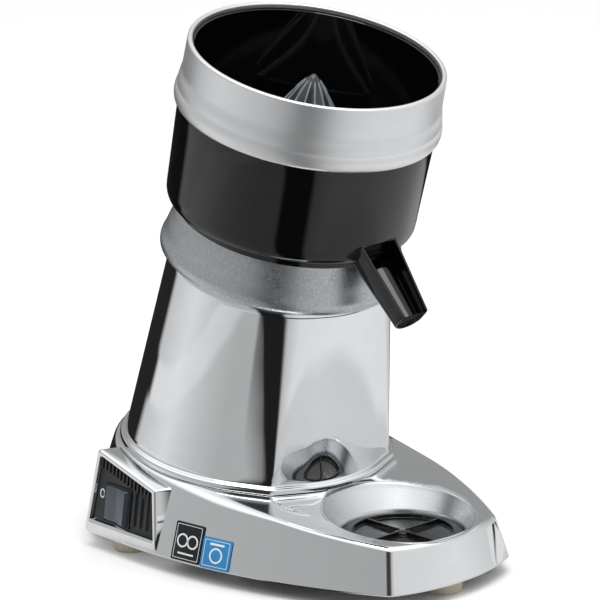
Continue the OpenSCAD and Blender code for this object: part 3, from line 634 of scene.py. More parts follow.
@dataclass
class Base:
    """The boat-shaped base casting, with its deck, the raised seat of the tower and the dish hole."""

    half_width: float = 106.0
    rear_y: float = 46.0
    front_y: float = -152.0
    corner_y: float = -140.0
    nose_half: float = 54.0
    corner_r: float = 9.0
    foot: float = 10.0
    draft: float = 18.0
    wall: float = 4.0
    deck_z: float = 37.5
    deck_slope: float = 5.5
    seat_z: float = 51.0
    seat_y: float = -37.0
    seat_slope: float = 7.0
    round_y: float = -105.0
    round_r: float = 90.0
    round_more: float = 70.0
    step_width: float = 3.2
    step_fade: float = 1.3
    edge_r: float = 3.0
    edge_more: float = 3.5
    dish: Solid = (0.0, -97.0, 41.2)
    dish_z: float = 30.0
    flare: float = 0.7
    wire_hole: Solid = (0.0, 26.0, 40.0)
    window: tuple[float, float] = (28.0, 84.0)
    posts: tuple[Flat, ...] = ((-34, -132), (34, -132), (-80, -22), (80, -22), (-46, 122), (46, 122))
    tower: TowerFoot = field(default_factory=TowerFoot)

    def side_radius(self) -> float:
        """Radius of the long arc along each side."""
        drop, run = self.half_width - self.nose_half, self.rear_y - self.corner_y
        return (run * run + drop * drop) / (2 * drop)

    def deck_level(self, y: float | np.ndarray) -> float | np.ndarray:
        """Height of the front deck, which rises slowly to the rear."""
        return self.deck_z + (y - self.corner_y) * tan(self.deck_slope)

    def plan(self) -> list[tuple[Vector, Vector, float]]:
        """The outline at the foot as (point, the way it moves when set in, angle of its normal)."""
        side_r = self.side_radius()
        side_sweep = math.asin((self.rear_y - self.corner_y) / side_r)
        bow = self.corner_y - self.front_y
        nose_r = (self.nose_half ** 2 + bow * bow) / (2 * bow)
        nose_sweep = math.asin(self.nose_half / nose_r)
        turn = math.pi / 2 - nose_sweep - side_sweep
        slide = math.tan(turn / 2)
        half: list[tuple[Vector, Vector, float]] = []
        radius = self.corner_r
        tangent = radius * slide + 0.4
        steps = 30
        for k in range(steps):
            a = nose_sweep * k / steps
            if (nose_sweep - a) * nose_r < tangent:
                continue
            pull = ease(1 - (nose_sweep - a) * nose_r / 28.0) * slide
            n, t = Vector((math.sin(a), -math.cos(a))), Vector((math.cos(a), math.sin(a)))
            half.append((Vector((nose_r * math.sin(a), self.front_y + nose_r * (1 - math.cos(a)))),
                         n + t * pull, a - math.pi / 2))
        bisector = nose_sweep - math.pi / 2 + turn / 2
        out = Vector((math.cos(bisector), math.sin(bisector))) / math.cos(turn / 2)
        middle = Vector((self.nose_half, self.corner_y)) - out * radius
        for k in range(13):
            a = nose_sweep - math.pi / 2 + turn * k / 12
            half.append((middle + radius * Vector((math.cos(a), math.sin(a))), out, a))
        steps = 70
        for k in range(1, steps + 1):
            a = side_sweep * (1 - k / steps)
            if (side_sweep - a) * side_r < tangent:
                continue
            pull = ease(1 - (side_sweep - a) * side_r / 28.0) * slide
            n, t = Vector((math.cos(a), -math.sin(a))), Vector((math.sin(a), math.cos(a)))
            half.append((Vector((self.half_width - side_r * (1 - math.cos(a)),
                                 self.rear_y - side_r * math.sin(a))), n - t * pull, -a))
        steps = 60
        for k in range(1, steps + 1):
            a = math.pi / 2 * k / steps
            n = Vector((math.cos(a), math.sin(a)))
            half.append((Vector((0.0, self.rear_y)) + self.half_width * n, n, a))
        other = [(Vector((-p.x, p.y)), Vector((-o.x, o.y)), math.pi - a) for p, o, a in half[-2:0:-1]]
        return half + other

    def tops(self, points: np.ndarray) -> np.ndarray:
        """Height of the top surface at each plan point: the deck, the seat, or the step between."""
        deck = self.deck_level(points[:, 1])
        seat = self.seat_z + (points[:, 1] - self.seat_y) * tan(self.seat_slope)
        width = self.step_width + self.step_fade * np.maximum(0, self.tower.distance(points) - 6.0)
        t = np.clip((self.behind(points) + width) / width, 0, 1)
        return deck + (seat - deck) * t * t * (3 - 2 * t)

    def behind(self, points: np.ndarray) -> np.ndarray:
        """How far points lie behind the step; negative over the front deck."""
        across = np.clip((points[:, 0] + 10.0) / 70.0, 0, 1)
        radius = self.round_r + self.round_more * across * across * (3 - 2 * across)
        circle = np.hypot(points[:, 0], np.maximum(points[:, 1] - self.round_y, 0)) - radius
        return np.maximum(circle, 4.5 - self.tower.distance(points))

    def rim(self, extra: float, count: int = 128) -> list[Flat]:
        """The dish hole's outline at deck level, widened by extra."""
        out: list[Flat] = []
        for a in even_turns(count):
            r = self.dish[2]
            for _ in range(8):
                y = self.dish[1] + r * math.sin(a)
                z = self.deck_level(y)
                r = self.dish[2] + self.flare * (z - self.dish_z)
            out.append((self.dish[0] + (r + extra) * math.cos(a), self.dish[1] + (r + extra) * math.sin(a)))
        return out

    def build(self) -> bpy.types.Object:
        """Makes the casting: wall, rounded top edge, deck, hole and inside, as one closed skin."""
        shell = Shell()
        plan = self.plan()
        feet = np.array([p[:] for p, _, _ in plan])
        outs = np.array([o[:] for _, o, _ in plan])
        lean = tan(self.draft)
        crest = self.tops(feet)
        for _ in range(12):
            crest = self.tops(feet - outs * ((crest - self.foot) * lean)[:, None])

        def at(depth: np.ndarray | float, z: np.ndarray | float) -> list[Solid]:
            """Points set in by depth at height z."""
            d = np.broadcast_to(depth, crest.shape)
            xy = feet - outs * d[:, None]
            return [(x, y, h) for (x, y), h in zip(xy, np.broadcast_to(z, crest.shape))]

        low = self.foot
        rows = [at(self.wall + 0.6, low), at(1.0, low), at(0.45, low + 0.2), at(0.33, low + 0.8)]
        # the top edge is rounder beside the tower, where the seat is narrow
        beside = np.clip((feet[:, 1] + 70.0) / 55.0, 0, 1)
        edge = self.edge_r + self.edge_more * beside * beside * (3 - 2 * beside)
        shoulder = crest - edge
        heights = [low + 1.2 + (shoulder - low - 1.2) * f for f in (0.17, 0.45, 0.8)]
        rows += [at((z - low) * lean, z) for z in (low + 1.1, low + 1.7, *heights, shoulder - 0.5)]
        start, corner = (shoulder - low) * lean, (crest - low) * lean
        for k in range(9):
            t = k / 8
            d = (1 - t) ** 2 * start + 2 * t * (1 - t) * corner + t * t * (corner + edge)
            flat = self.tops(feet - outs * d[:, None])
            z = (1 - t) ** 2 * shoulder + 2 * t * (1 - t) * crest + t * t * flat
            rows.append(at(d, z))
        rings = [shell.ring(r) for r in rows]
        y = feet[:, 1]
        switch = [bool(self.window[0] < y[i] < self.window[1] and feet[i, 0] < 0) for i in range(len(plan))]
        # the row at the window's lower edge; the window is two rows high
        sill = 6

        def in_window(i: int) -> bool:
            """Whether a face in the row lies in the switch's window."""
            return switch[i]

        for k, (one, two) in enumerate(zip(rings, rings[1:])):
            if k in (sill, sill + 1):
                shell.bridge(one, two, skip=in_window)
            else:
                shell.bridge(one, two)
        # the inside: up from the foot, then the ceiling under the deck
        inner = [shell.ring(at(self.wall + (z - low) * lean, z)) for z in heights]
        shell.bridge(rings[0], inner[0])
        for k in (0, 1):
            shell.bridge(inner[k], inner[k + 1], skip=in_window)
        marks = [i for i in range(len(plan)) if switch[i]]
        first, last = marks[0], marks[-1] + 1
        for i in range(first, last):
            for skin, lining in ((rings[sill], inner[0]), (rings[sill + 2], inner[2])):
                shell.faces.append((skin[i], skin[i + 1], lining[i + 1], lining[i]))
        for i in (first, last):
            for k in (0, 1):
                low_skin, high_skin = rings[sill + k], rings[sill + k + 1]
                shell.faces.append((low_skin[i], high_skin[i], inner[k + 1][i], inner[k][i]))
        self._deck(shell, rings[-1], inner[-1])
        for x, y_post in self.posts:
            z = float(self.tops(np.array([(x, y_post)]))[0]) - self.wall + 1
            margin = float(np.hypot(*(feet - (x, y_post)).T).min()) - 6.2 - self.wall / 2
            z = min(z, low + margin / lean)
            shell.lathe([(2.03, 12.0), (4.6, 12.0), (5.0, 12.6), (6.2, z), (2.03, z)], 32, (x, y_post))
        return dress(shell.build("base_skin", crease=30), CHROME, "body", "chrome", "base_casting")

    def _deck(self, shell: Shell, edge: list[int], under: list[int]) -> None:
        """Fills the top and the ceiling inside the edge, round the dish hole and the wire hole.

        Args:
            shell: the skin being made.
            edge: the points round the top.
            under: the points round the top of the inner wall.
        """
        border = [tuple(shell.points[i][:2]) for i in edge]
        rim = self.rim(0.7)
        cx, cy, cr = self.wire_hole
        wire = [(cx + cr * math.cos(a), cy + cr * math.sin(a)) for a in even_turns(64)]
        loops = [border, rim, wire]
        inside = self._fill(border)
        flat = [p for loop in loops for p in loop] + inside
        edges: list[tuple[int, int]] = []
        first = 0
        for loop in loops:
            edges += [(first + i, first + (i + 1) % len(loop)) for i in range(len(loop))]
            first += len(loop)
        found = delaunay_2d_cdt([Vector(p) for p in flat], edges, [], 0, 1e-4)
        spots, faces, origin = found[0], found[2], found[3]
        outer = np.array(border)
        centres = np.array([sum((spots[i] for i in f), Vector((0, 0))) / 3 for f in faces])
        keep = self._within(centres, outer)
        keep &= ~self._within(centres, np.array(rim)) & ~self._within(centres, np.array(wire))
        xy = np.array([s[:] for s in spots])
        z = self.tops(xy)
        named = {o: k for k, group in enumerate(origin) for o in group}
        top = [0] * len(spots)
        low = [0] * len(spots)
        back = {v: k for k, v in named.items()}
        for k in range(len(spots)):
            o = back.get(k, -1)
            if 0 <= o < len(border):
                top[k] = edge[o]
            else:
                top[k] = shell.ring([(*xy[k], z[k])])[0]
            low[k] = shell.ring([(*xy[k], z[k] - self.wall)])[0]
        for f, good in zip(faces, keep):
            if good:
                shell.faces.append(tuple(top[i] for i in f))
                shell.faces.append(tuple(low[i] for i in reversed(f)))
        shell.bridge(under, [low[named[i]] for i in range(len(border))])
        rim_ids = [named[len(border) + i] for i in range(len(rim))]
        rolled = [top[i] for i in rim_ids]
        for extra, fall in ((0.3, 0.12), (0.08, 0.4), (0.0, 1.0)):
            spot = self.rim(extra)
            level = self.tops(np.array(spot)) - fall
            following = shell.ring([(*p, h) for p, h in zip(spot, level)])
            shell.bridge(rolled, following)
            rolled = following
        shell.bridge(rolled, [low[i] for i in rim_ids])
        wire_ids = [named[len(border) + len(rim) + i] for i in range(len(wire))]
        shell.bridge([top[i] for i in wire_ids], [low[i] for i in wire_ids])

    def _fill(self, border: list[Flat]) -> list[Flat]:
        """Points inside the top: a coarse grid, and close rows along the step."""
        edge = np.array(border)
        grid = np.array([(x, y) for x in np.arange(-104, 105, 8.0) for y in np.arange(-150, 152, 8.0)])
        depth = self.behind(grid)
        grid = grid[(depth > 5.0) | (depth < -34.0)]
        rows = [grid]
        for level in [*np.arange(-30.0, -4.5, 1.5), *np.arange(-4.5, 1.3, 0.4)]:
            a = np.arange(0.0, math.pi, 0.012)
            arc = np.array([self._on_step(t, level) for t in a])
            rows.append(arc[4.5 - self.tower.distance(arc) < level - 0.1])
            grown = np.array([(p + n * (4.5 - level))[:] for p, n, _ in self.tower.stations(3.0, 2.0)])
            far = self.behind(grown) - level
            rows.append(grown[(np.abs(far) < 0.1) & (grown[:, 1] < 20)])
        points = np.concatenate(rows)
        good = self._within(points, edge, 1.4)
        good &= ~self._within(points, np.array(self.rim(0.7)), -1.2)
        cx, cy, cr = self.wire_hole
        good &= np.hypot(points[:, 0] - cx, points[:, 1] - cy) > cr + 2
        return [tuple(p) for p in points[good]]

    def _on_step(self, angle: float, level: float) -> Flat:
        """A point on the step's round line, moved out by level, at an angle about its centre."""
        r = self.round_r + level
        for _ in range(6):
            across = min(1.0, max(0.0, (r * math.cos(angle) + 10.0) / 70.0))
            r = self.round_r + self.round_more * ease(across) + level
        return r * math.cos(angle), self.round_y + r * math.sin(angle)

    @staticmethod
    def _within(points: np.ndarray, loop: np.ndarray, gap: float = 0.0) -> np.ndarray:
        """Which points lie inside a loop, and further than gap from it (a negative gap widens it)."""
        a, b = loop, np.roll(loop, -1, axis=0)
        x, y = points[:, 0, None], points[:, 1, None]
        crossing = (a[:, 1] > y) != (b[:, 1] > y)
        slope = (b[:, 0] - a[:, 0]) / np.where(b[:, 1] == a[:, 1], 1e-9, b[:, 1] - a[:, 1])
        inside = (crossing & (x < slope * (y - a[:, 1]) + a[:, 0])).sum(1) % 2 == 1
        if gap:
            run = b - a
            t = np.clip(((x - a[:, 0]) * run[:, 0] + (y - a[:, 1]) * run[:, 1]) / (run ** 2).sum(1), 0, 1)
            away = np.hypot(x - a[:, 0] - t * run[:, 0], y - a[:, 1] - t * run[:, 1]).min(1)
            inside = inside & (away > gap) if gap > 0 else inside | (away < -gap)
        return inside


# ---------------------------------------------------------------- tower and motor cover


@dataclass
class Tower:
    """The leaning tower: a ruled skin from its foot outline to the round top, with a bead at the foot."""

    base: Base
    top_r: float = 72.0
    top_h: float = -13.0
    wall: float = 3.0
    bead_out: float = 3.5
    bead_h: float = 4.0

    def build(self) -> bpy.types.Object:
        """Makes the casting as one closed skin."""
        axis = motor_axis()
        tilt = math.radians(self.base.seat_slope)
        marks = self.base.tower.stations()

        def skin(rise: float, out: float, part: float = 0.0) -> list[Vector]:
            """Points rise above the seat, or part of the way to the top, moved out by a distance."""
            row: list[Vector] = []
            for p, n, angle in marks:
                back = p.y - self.base.seat_y
                low = Vector((p.x, self.base.seat_y + back * math.cos(tilt),
                              self.base.seat_z + back * math.sin(tilt)))
                top = axis @ (Vector((self.top_r * math.cos(angle), self.top_r * math.sin(angle),
                                      self.top_h)) * MM) / MM
                t = part if part else rise / (top.z - low.z)
                row.append(low.lerp(top, t) + Vector((n.x, n.y, 0.0)) * out)
            return row

        bead = rounded([(-self.wall, 0, 0), (self.bead_out, 0, 0.8), (self.bead_out, self.bead_h, 1.9),
                        (0.15, self.bead_h + 0.5, 1.4), (0, self.bead_h + 5, 0)], 5, closed=False)
        rows = [skin(max(u, 0.001), g) for g, u in bead]
        rows += [skin(0, 0, t) for t in np.linspace(0.1, 0.992, 22)]
        rows += [skin(0, -0.5, 1.0), skin(0, -self.wall + 0.4, 1.0), skin(0, -self.wall, 0.99)]
        rows += [skin(0, -self.wall, t) for t in (0.7, 0.4, 0.1)]
        shell = Shell()
        shell.loft(rows, ends=False)
        return dress(shell.build("tower_skin", crease=40), CHROME, "body", "chrome", "tower_housing")


@dataclass
class MotorCover:
    """The blasted cover on the tower: a flat top, a shoulder that swells to a lip, and a neck."""

    neck_r: float = 12.0
    bore_r: float = 8.0
    neck_top: float = 48.0

    def build(self) -> bpy.types.Object:
        """Makes the cover as one closed skin turned about the motor axis."""
        shoulder = flowing([(72, 18), (73.2, 14.6), (74.4, 10.5), (75.9, 5.5), (77.2, 0.5), (78.3, -2.9),
                            (79.2, -5.6), (79.4, -7.8), (79.0, -10.2), (77.6, -12.2), (75.6, -13)], 5)
        low = [(60.7, -13), (60.7, 14), (self.bore_r, 14)]
        neck = rounded([(self.bore_r, self.neck_top, 0), (self.neck_r, self.neck_top, 0.8),
                        (self.neck_r, 18, 2.5), (71.4, 18, 0)], 5, closed=False)
        shell = Shell()
        shell.lathe([*low, *neck, *shoulder], 192)
        piece = shell.build("cover_skin", motor_axis(), 45)
        return dress(piece, CAST_METAL, "body", "cast_cover", "motor_cover")


# ---------------------------------------------------------------- bowl, ring, strainer, squeezer


@dataclass
class Bowl:
    """The gloss black juice bowl with its chimney, and the spout that runs down to the glass."""

    radius: float = 81.0
    top: float = 129.0
    root: Flat = (65.0, 34.0)
    reach: float = 120.0
    drop: float = 30.0
    half: Flat = (16.5, 11.5)
    sides: Flat = (11.5, 7.5)
    skin: float = 1.9
    round: float = 0.74
    mouth: Flat = (29.0, 37.0)
    mouth_turn: float = 9.5

    def build(self) -> bpy.types.Object:
        """Makes the bowl and its spout."""
        outer = [(16.5, 23.0), (69.6, 23.0), (70.0, 22.6), (70.0, 18.4), (70.4, 18.05), (72.1, 18.05),
                 (72.5, 18.4), (73.0, 22.6), (73.4, 23.0)]
        belly = flowing([(76.0, 23.3), (78.6, 24.6), (80.1, 26.8), (80.75, 29.0)], 4)
        upper = [(81.0, 33.0), (81.05, self.mouth[1])]
        upper += [(81.05 + 1.6 * t, self.mouth[1] + (89.2 - self.mouth[1]) * t)
                  for t in (0.2, 0.4, 0.6, 0.8, 1)]
        upper += [(82.6, 89.8), (82.3, 90.0), (80.2, 90.0), (80.2, 128.6), (79.8, 129.0), (78.2, 129.0),
                  (77.8, 128.6), (77.5, 69.0), (77.5, 49.0), (75.2, 49.0), (75.0, 48.6),
                  (74.5, self.mouth[1]), (74.0, 31.0)]
        inner = flowing([(73.2, 29.2), (71.8, 27.8), (70.0, 27.0)], 3)
        inner += [(20.0, 30.6), (17.2, 32.0), (16.5, 34.0), (16.5, 55.5), (16.0, 56.0), (14.0, 56.0),
                  (13.5, 55.5), (13.5, 23.5), (14.0, 23.0)]
        profile = [*outer, *belly, *upper, *inner]
        shell = Shell()
        segments = 240
        turns = [a - math.pi / 2 for a in even_turns(segments)]
        rings = [shell.ring([(r * math.cos(a), r * math.sin(a), h) for a in turns]) for r, h in profile]
        gate = round(self.mouth_turn / 360 * segments)

        def open_here(i: int) -> bool:
            """Whether a face in the row lies in the mouth."""
            return i < gate or i >= segments - gate

        a0, a1 = profile.index(belly[-1]), profile.index(upper[1])
        b0, b1 = profile.index((74.5, self.mouth[1])), profile.index((74.0, 31.0))
        count = len(rings)
        for k in range(count):
            inside = a0 <= k < a1 or b0 <= k < b1
            shell.bridge(rings[k], rings[(k + 1) % count], skip=open_here if inside else (lambda i: False))
        for i in [*range(segments - gate, segments), *range(gate)]:
            j = (i + 1) % segments
            shell.faces.append((rings[a0][i], rings[a0][j], rings[b1][j], rings[b1][i]))
            shell.faces.append((rings[a1][i], rings[a1][j], rings[b0][j], rings[b0][i]))
        for i in (gate, segments - gate):
            outer_side = [rings[k][i] for k in range(a0, a1 + 1)]
            shell.faces.append(tuple(outer_side + [rings[k][i] for k in range(b0, b1 + 1)]))
        self._spout(shell)
        piece = shell.build("bowl_skin", motor_axis(), 35)
        return dress(piece, BOWL_BLACK, "bowl", "black_plastic", "bowl")

    def _section(self, t: float, grow: float, shift: float) -> list[Solid]:
        """The spout's rounded U at a station, as one closed row.

        Args:
            t: 0 at the root and 1 at the tip.
            grow: how far the skin is thinned all round, to round the tip.
            shift: how far the row moves along the spout, in millimetres.

        Returns:
            The row's points.
        """
        half = self.half[0] + (self.half[1] - self.half[0]) * t - grow
        up = self.sides[0] + (self.sides[1] - self.sides[0]) * t - grow
        inner = half - self.skin + 2 * grow
        arc = [math.pi + math.pi * k / 24 for k in range(25)]
        row = [(-half + 0.9, up), (-half + 0.25, up - 0.3), (-half, up - 1.0)]
        row += [(half * math.cos(a), self.round * half * math.sin(a)) for a in arc]
        row += [(half, up - 1.0), (half - 0.25, up - 0.3), (half - 0.9, up)]
        row += [(inner + 0.7, up), (inner + 0.2, up - 0.3), (inner, up - 1.0)]
        row += [(inner * math.cos(a), self.round * inner * math.sin(a)) for a in reversed(arc)]
        row += [(-inner, up - 1.0), (-inner - 0.2, up - 0.3), (-inner - 0.7, up)]
        run = math.hypot(self.drop, self.reach - self.root[0])
        slope = math.atan2(self.drop, self.reach - self.root[0])
        along = run * t + shift
        sink = -(self.half[0] - self.half[1]) * t
        out: list[Solid] = []
        for x, v in row:
            w = v + sink
            out.append((x, -(self.root[0] + along * math.cos(slope) + w * math.sin(slope)),
                        self.root[1] - along * math.sin(slope) + w * math.cos(slope)))
        return out

    def _spout(self, shell: Shell) -> None:
        """Adds the spout's skin and the wall that closes it under the bowl."""
        rows = [self._section(t, 0.0, 0.0) for t in np.linspace(0.17, 0.985, 16)]
        rows += [self._section(0.995, 0.15, 0.1), self._section(1.0, 0.5, 0.15)]
        shell.loft(rows, ends=True)
        back = [self._section(t, 0.0, 0.0) for t in (0.15, 0.2)]
        middle = len(back[0]) // 2
        shell.loft([[*row[:middle]] for row in back], ends=True)


@dataclass
class BowlRing:
    """The satin metal ring round the bowl's top, with a bead that bulges out."""

    def build(self) -> bpy.types.Object:
        """Makes the ring as one closed skin turned about the motor axis."""
        side = flowing([(83.2, 90.1), (84.4, 90.7), (85.4, 92.2), (85.95, 94.6), (85.95, 97.2), (85.5, 99.6),
                        (84.95, 101.2), (84.75, 102.6), (84.6, 104.4), (84.2, 107.0), (83.6, 109.8),
                        (83.25, 112.0)], 5)
        upper = [(83.2, 113.0), (82.85, 128.5)]
        lip = rounded([(82.8, 129.0, 0), (82.8, 132.6, 1.5), (79.5, 132.6, 1.2), (79.5, 129.35, 0.2),
                       (80.5, 129.35, 0), (80.5, 90.1, 0.3), (81.4, 90.06, 0)], 6, closed=False)
        shell = Shell()
        shell.lathe([*side, *upper, *lip], 240)
        piece = shell.build("ring_skin", motor_axis(), 40)
        return dress(piece, RING_METAL, "ring", "satin_aluminium", "bowl_ring")


@dataclass
class Squeezer:
    """The smoke-coloured squeezing cone: a skirt, a fluted body and twelve ribs."""

    skirt_r: float = 38.0
    low: float = 57.0
    tip: float = 119.0
    ribs: int = 12

    def radius(self, t: float) -> float:
        """The body's radius from the skirt (0) to the tip (1)."""
        return self.skirt_r * max(0.0, 1 - t) ** 0.68 * (1 - 0.25 * t) - 1.2 * (1 - t)

    def build(self) -> list[bpy.types.Object]:
        """Makes the body and its ribs."""
        shell = Shell()
        start = self.low + 3
        outside = rounded([(self.skirt_r - 0.6, self.low, 0), (self.skirt_r, self.low, 0.5),
                           (self.skirt_r, start, 1.0), (self.skirt_r - 1.6, start + 0.4, 0.6),
                           (self.radius(0.03), start + 59 * 0.03, 0)], 4, closed=False)
        outside += [(self.radius(t), start + (self.tip - start) * t) for t in
                    (0.06, 0.12, 0.2, 0.3, 0.4, 0.5, 0.6, 0.7, 0.78, 0.85, 0.9, 0.94, 0.97, 0.985, 0.995)]
        outside += [(0.0, self.tip)]
        inside = [(0.0, 96.0), (6.3, 95.0), (6.3, 67.5), (18.0, 67.0), (18.0, self.low)]
        shell.lathe([*outside, *inside], 96)
        cone = shell.build("squeezer_body", motor_axis(), 40)
        body = dress(cone, SMOKE, "squeezer", "clear_grey", "squeezer")
        rib = Shell()
        rows: list[list[Solid]] = []
        for t in np.linspace(0.0, 0.93, 20):
            h = start + (self.tip - start) * t
            r = self.radius(t)
            swell = 1.7 * math.sin(math.pi * min(1.0, 0.18 + t)) ** 0.5
            out = swell if t < 0.8 else 1.1 * (1 - (t - 0.8) / 0.2)
            thick = 1.25 * (1 - 0.55 * t)
            rows.append([(r - 1.5, -thick, h), (r + out * 0.55, -thick * 0.55, h), (r + out, -0.18, h),
                         (r + out, 0.18, h), (r + out * 0.55, thick * 0.55, h), (r - 1.5, thick, h)])
        rib.loft(rows, ends=True)
        piece = rib.build("squeezer_ribs")
        # the ribs take the paler styrene, whose colour is a painted highlight
        Repeat(self.ribs, 360 / self.ribs).run(piece, SMOKE_RIBS_PAINTED_HIGHLIGHT, motor_axis(), 30)
        return [body, dress(piece, SMOKE_RIBS_PAINTED_HIGHLIGHT, "squeezer", "clear_grey")]


# ---------------------------------------------------------------- glass dish


@dataclass
class GlassDish:
    """The spun dish that the glass stands in, and the black rest on its floor."""

    base: Base
    floor: float = 30.0
    inner_r: float = 40.0
    skin: float = 1.2
    proud: float = 0.55

    def build(self) -> list[bpy.types.Object]:
        """Makes the lining and the rest."""
        shell = Shell()
        cx, cy = self.base.dish[:2]
        turns = even_turns(160)

        def lip(a: float, radius: float) -> tuple[float, float]:
            """Radius and height where the flared wall reaches the deck, for a wall of base radius."""
            r = radius
            z = self.floor
            for _ in range(9):
                y = cy + r * math.sin(a)
                z = self.base.deck_level(y) + self.proud
                r = radius + self.base.flare * (z - self.floor)
            return r, z

        def row(radius: float, part: float, out: float = 0.0, up: float = 0.0) -> list[Solid]:
            """A ring on the flared wall, part of the way from the floor to the deck."""
            points: list[Solid] = []
            for a in turns:
                r, z = lip(a, radius)
                r, z = radius + (r - radius) * part + out, self.floor + (z - self.floor) * part + up
                points.append((cx + r * math.cos(a), cy + r * math.sin(a), z))
            return points

        def level(radius: float, z: float) -> list[Solid]:
            """A ring at one height."""
            return [(cx + radius * math.cos(a), cy + radius * math.sin(a), z) for a in turns]

        wide = self.inner_r + self.skin - 0.08
        rows = [level(0.0, 24.1), level(self.inner_r - 1.0, 24.1), level(wide - 0.3, 24.4), level(wide, 25.2),
                level(wide, self.floor), row(wide, 0.5), row(wide, 0.9)]
        # a rolled lip that lies on the deck's edge
        rows += [row(wide, 1.0, 0.3, -0.5), row(wide, 1.0, 0.6, -0.4), row(wide, 1.0, 0.75, -0.15),
                 row(wide, 1.0, 0.6, 0.02), row(wide, 1.0, 0.2, 0.08), row(wide, 1.0, -0.5, 0.04),
                 row(wide, 1.0, -1.1, -0.16), row(self.inner_r, 0.96, -0.12)]
        rows += [row(self.inner_r, t) for t in (0.9, 0.75, 0.5, 0.25, 0.1)]
        rows += [level(self.inner_r, self.floor), level(self.inner_r - 0.1, 26.8),
                 level(self.inner_r - 0.5, 26.2), level(self.inner_r - 1.0, 26.0), level(0.0, 26.0)]
        shell.loft(rows, ends=True)
        lining = dress(shell.build("dish_skin", crease=40), DISH_METAL, "body", "satin_aluminium",
                       "dish_lining")
        return [lining, *self._rest(cx, cy)]

    def _rest(self, cx: float, cy: float) -> list[bpy.types.Object]:
        """Makes the black rest: a disc with a raised ring and hub, and crossed ribs."""
        z = self.floor - 3.95
        shell = Shell()
        shell.lathe(rounded([(0, z, 0), (39, z, 0.5), (39, z + 3, 0.8), (34, z + 3, 0.4), (34, z + 5, 0.8),
                             (32, z + 5, 0.8), (32, z + 2.2, 0.6), (5, z + 2.2, 0.6), (5, z + 4.4, 1.2),
                             (0, z + 4.4, 0)], 4), 144, (cx, cy))
        disc = dress(shell.build("rest_disc", crease=40), REST_BLACK, "glass_rest", "black_matte",
                     "glass_rest")
        rib = Shell()
        section = rounded([(-0.9, 1.5, 0), (0.9, 1.5, 0), (0.6, 5.0, 0.35), (-0.6, 5.0, 0.35)], 4)
        rib.loft([[(x, u, v) for u, v in section] for x in (3.5, 20.0, 33.0)], ends=True)
        piece = rib.build("rest_ribs")
        Repeat(4, 90.0, 0.0).run(piece, REST_BLACK, Matrix.Translation((cx * MM, cy * MM, z * MM)))
        return [disc, dress(piece, REST_BLACK, "glass_rest", "black_matte")]


# ---------------------------------------------------------------- switch


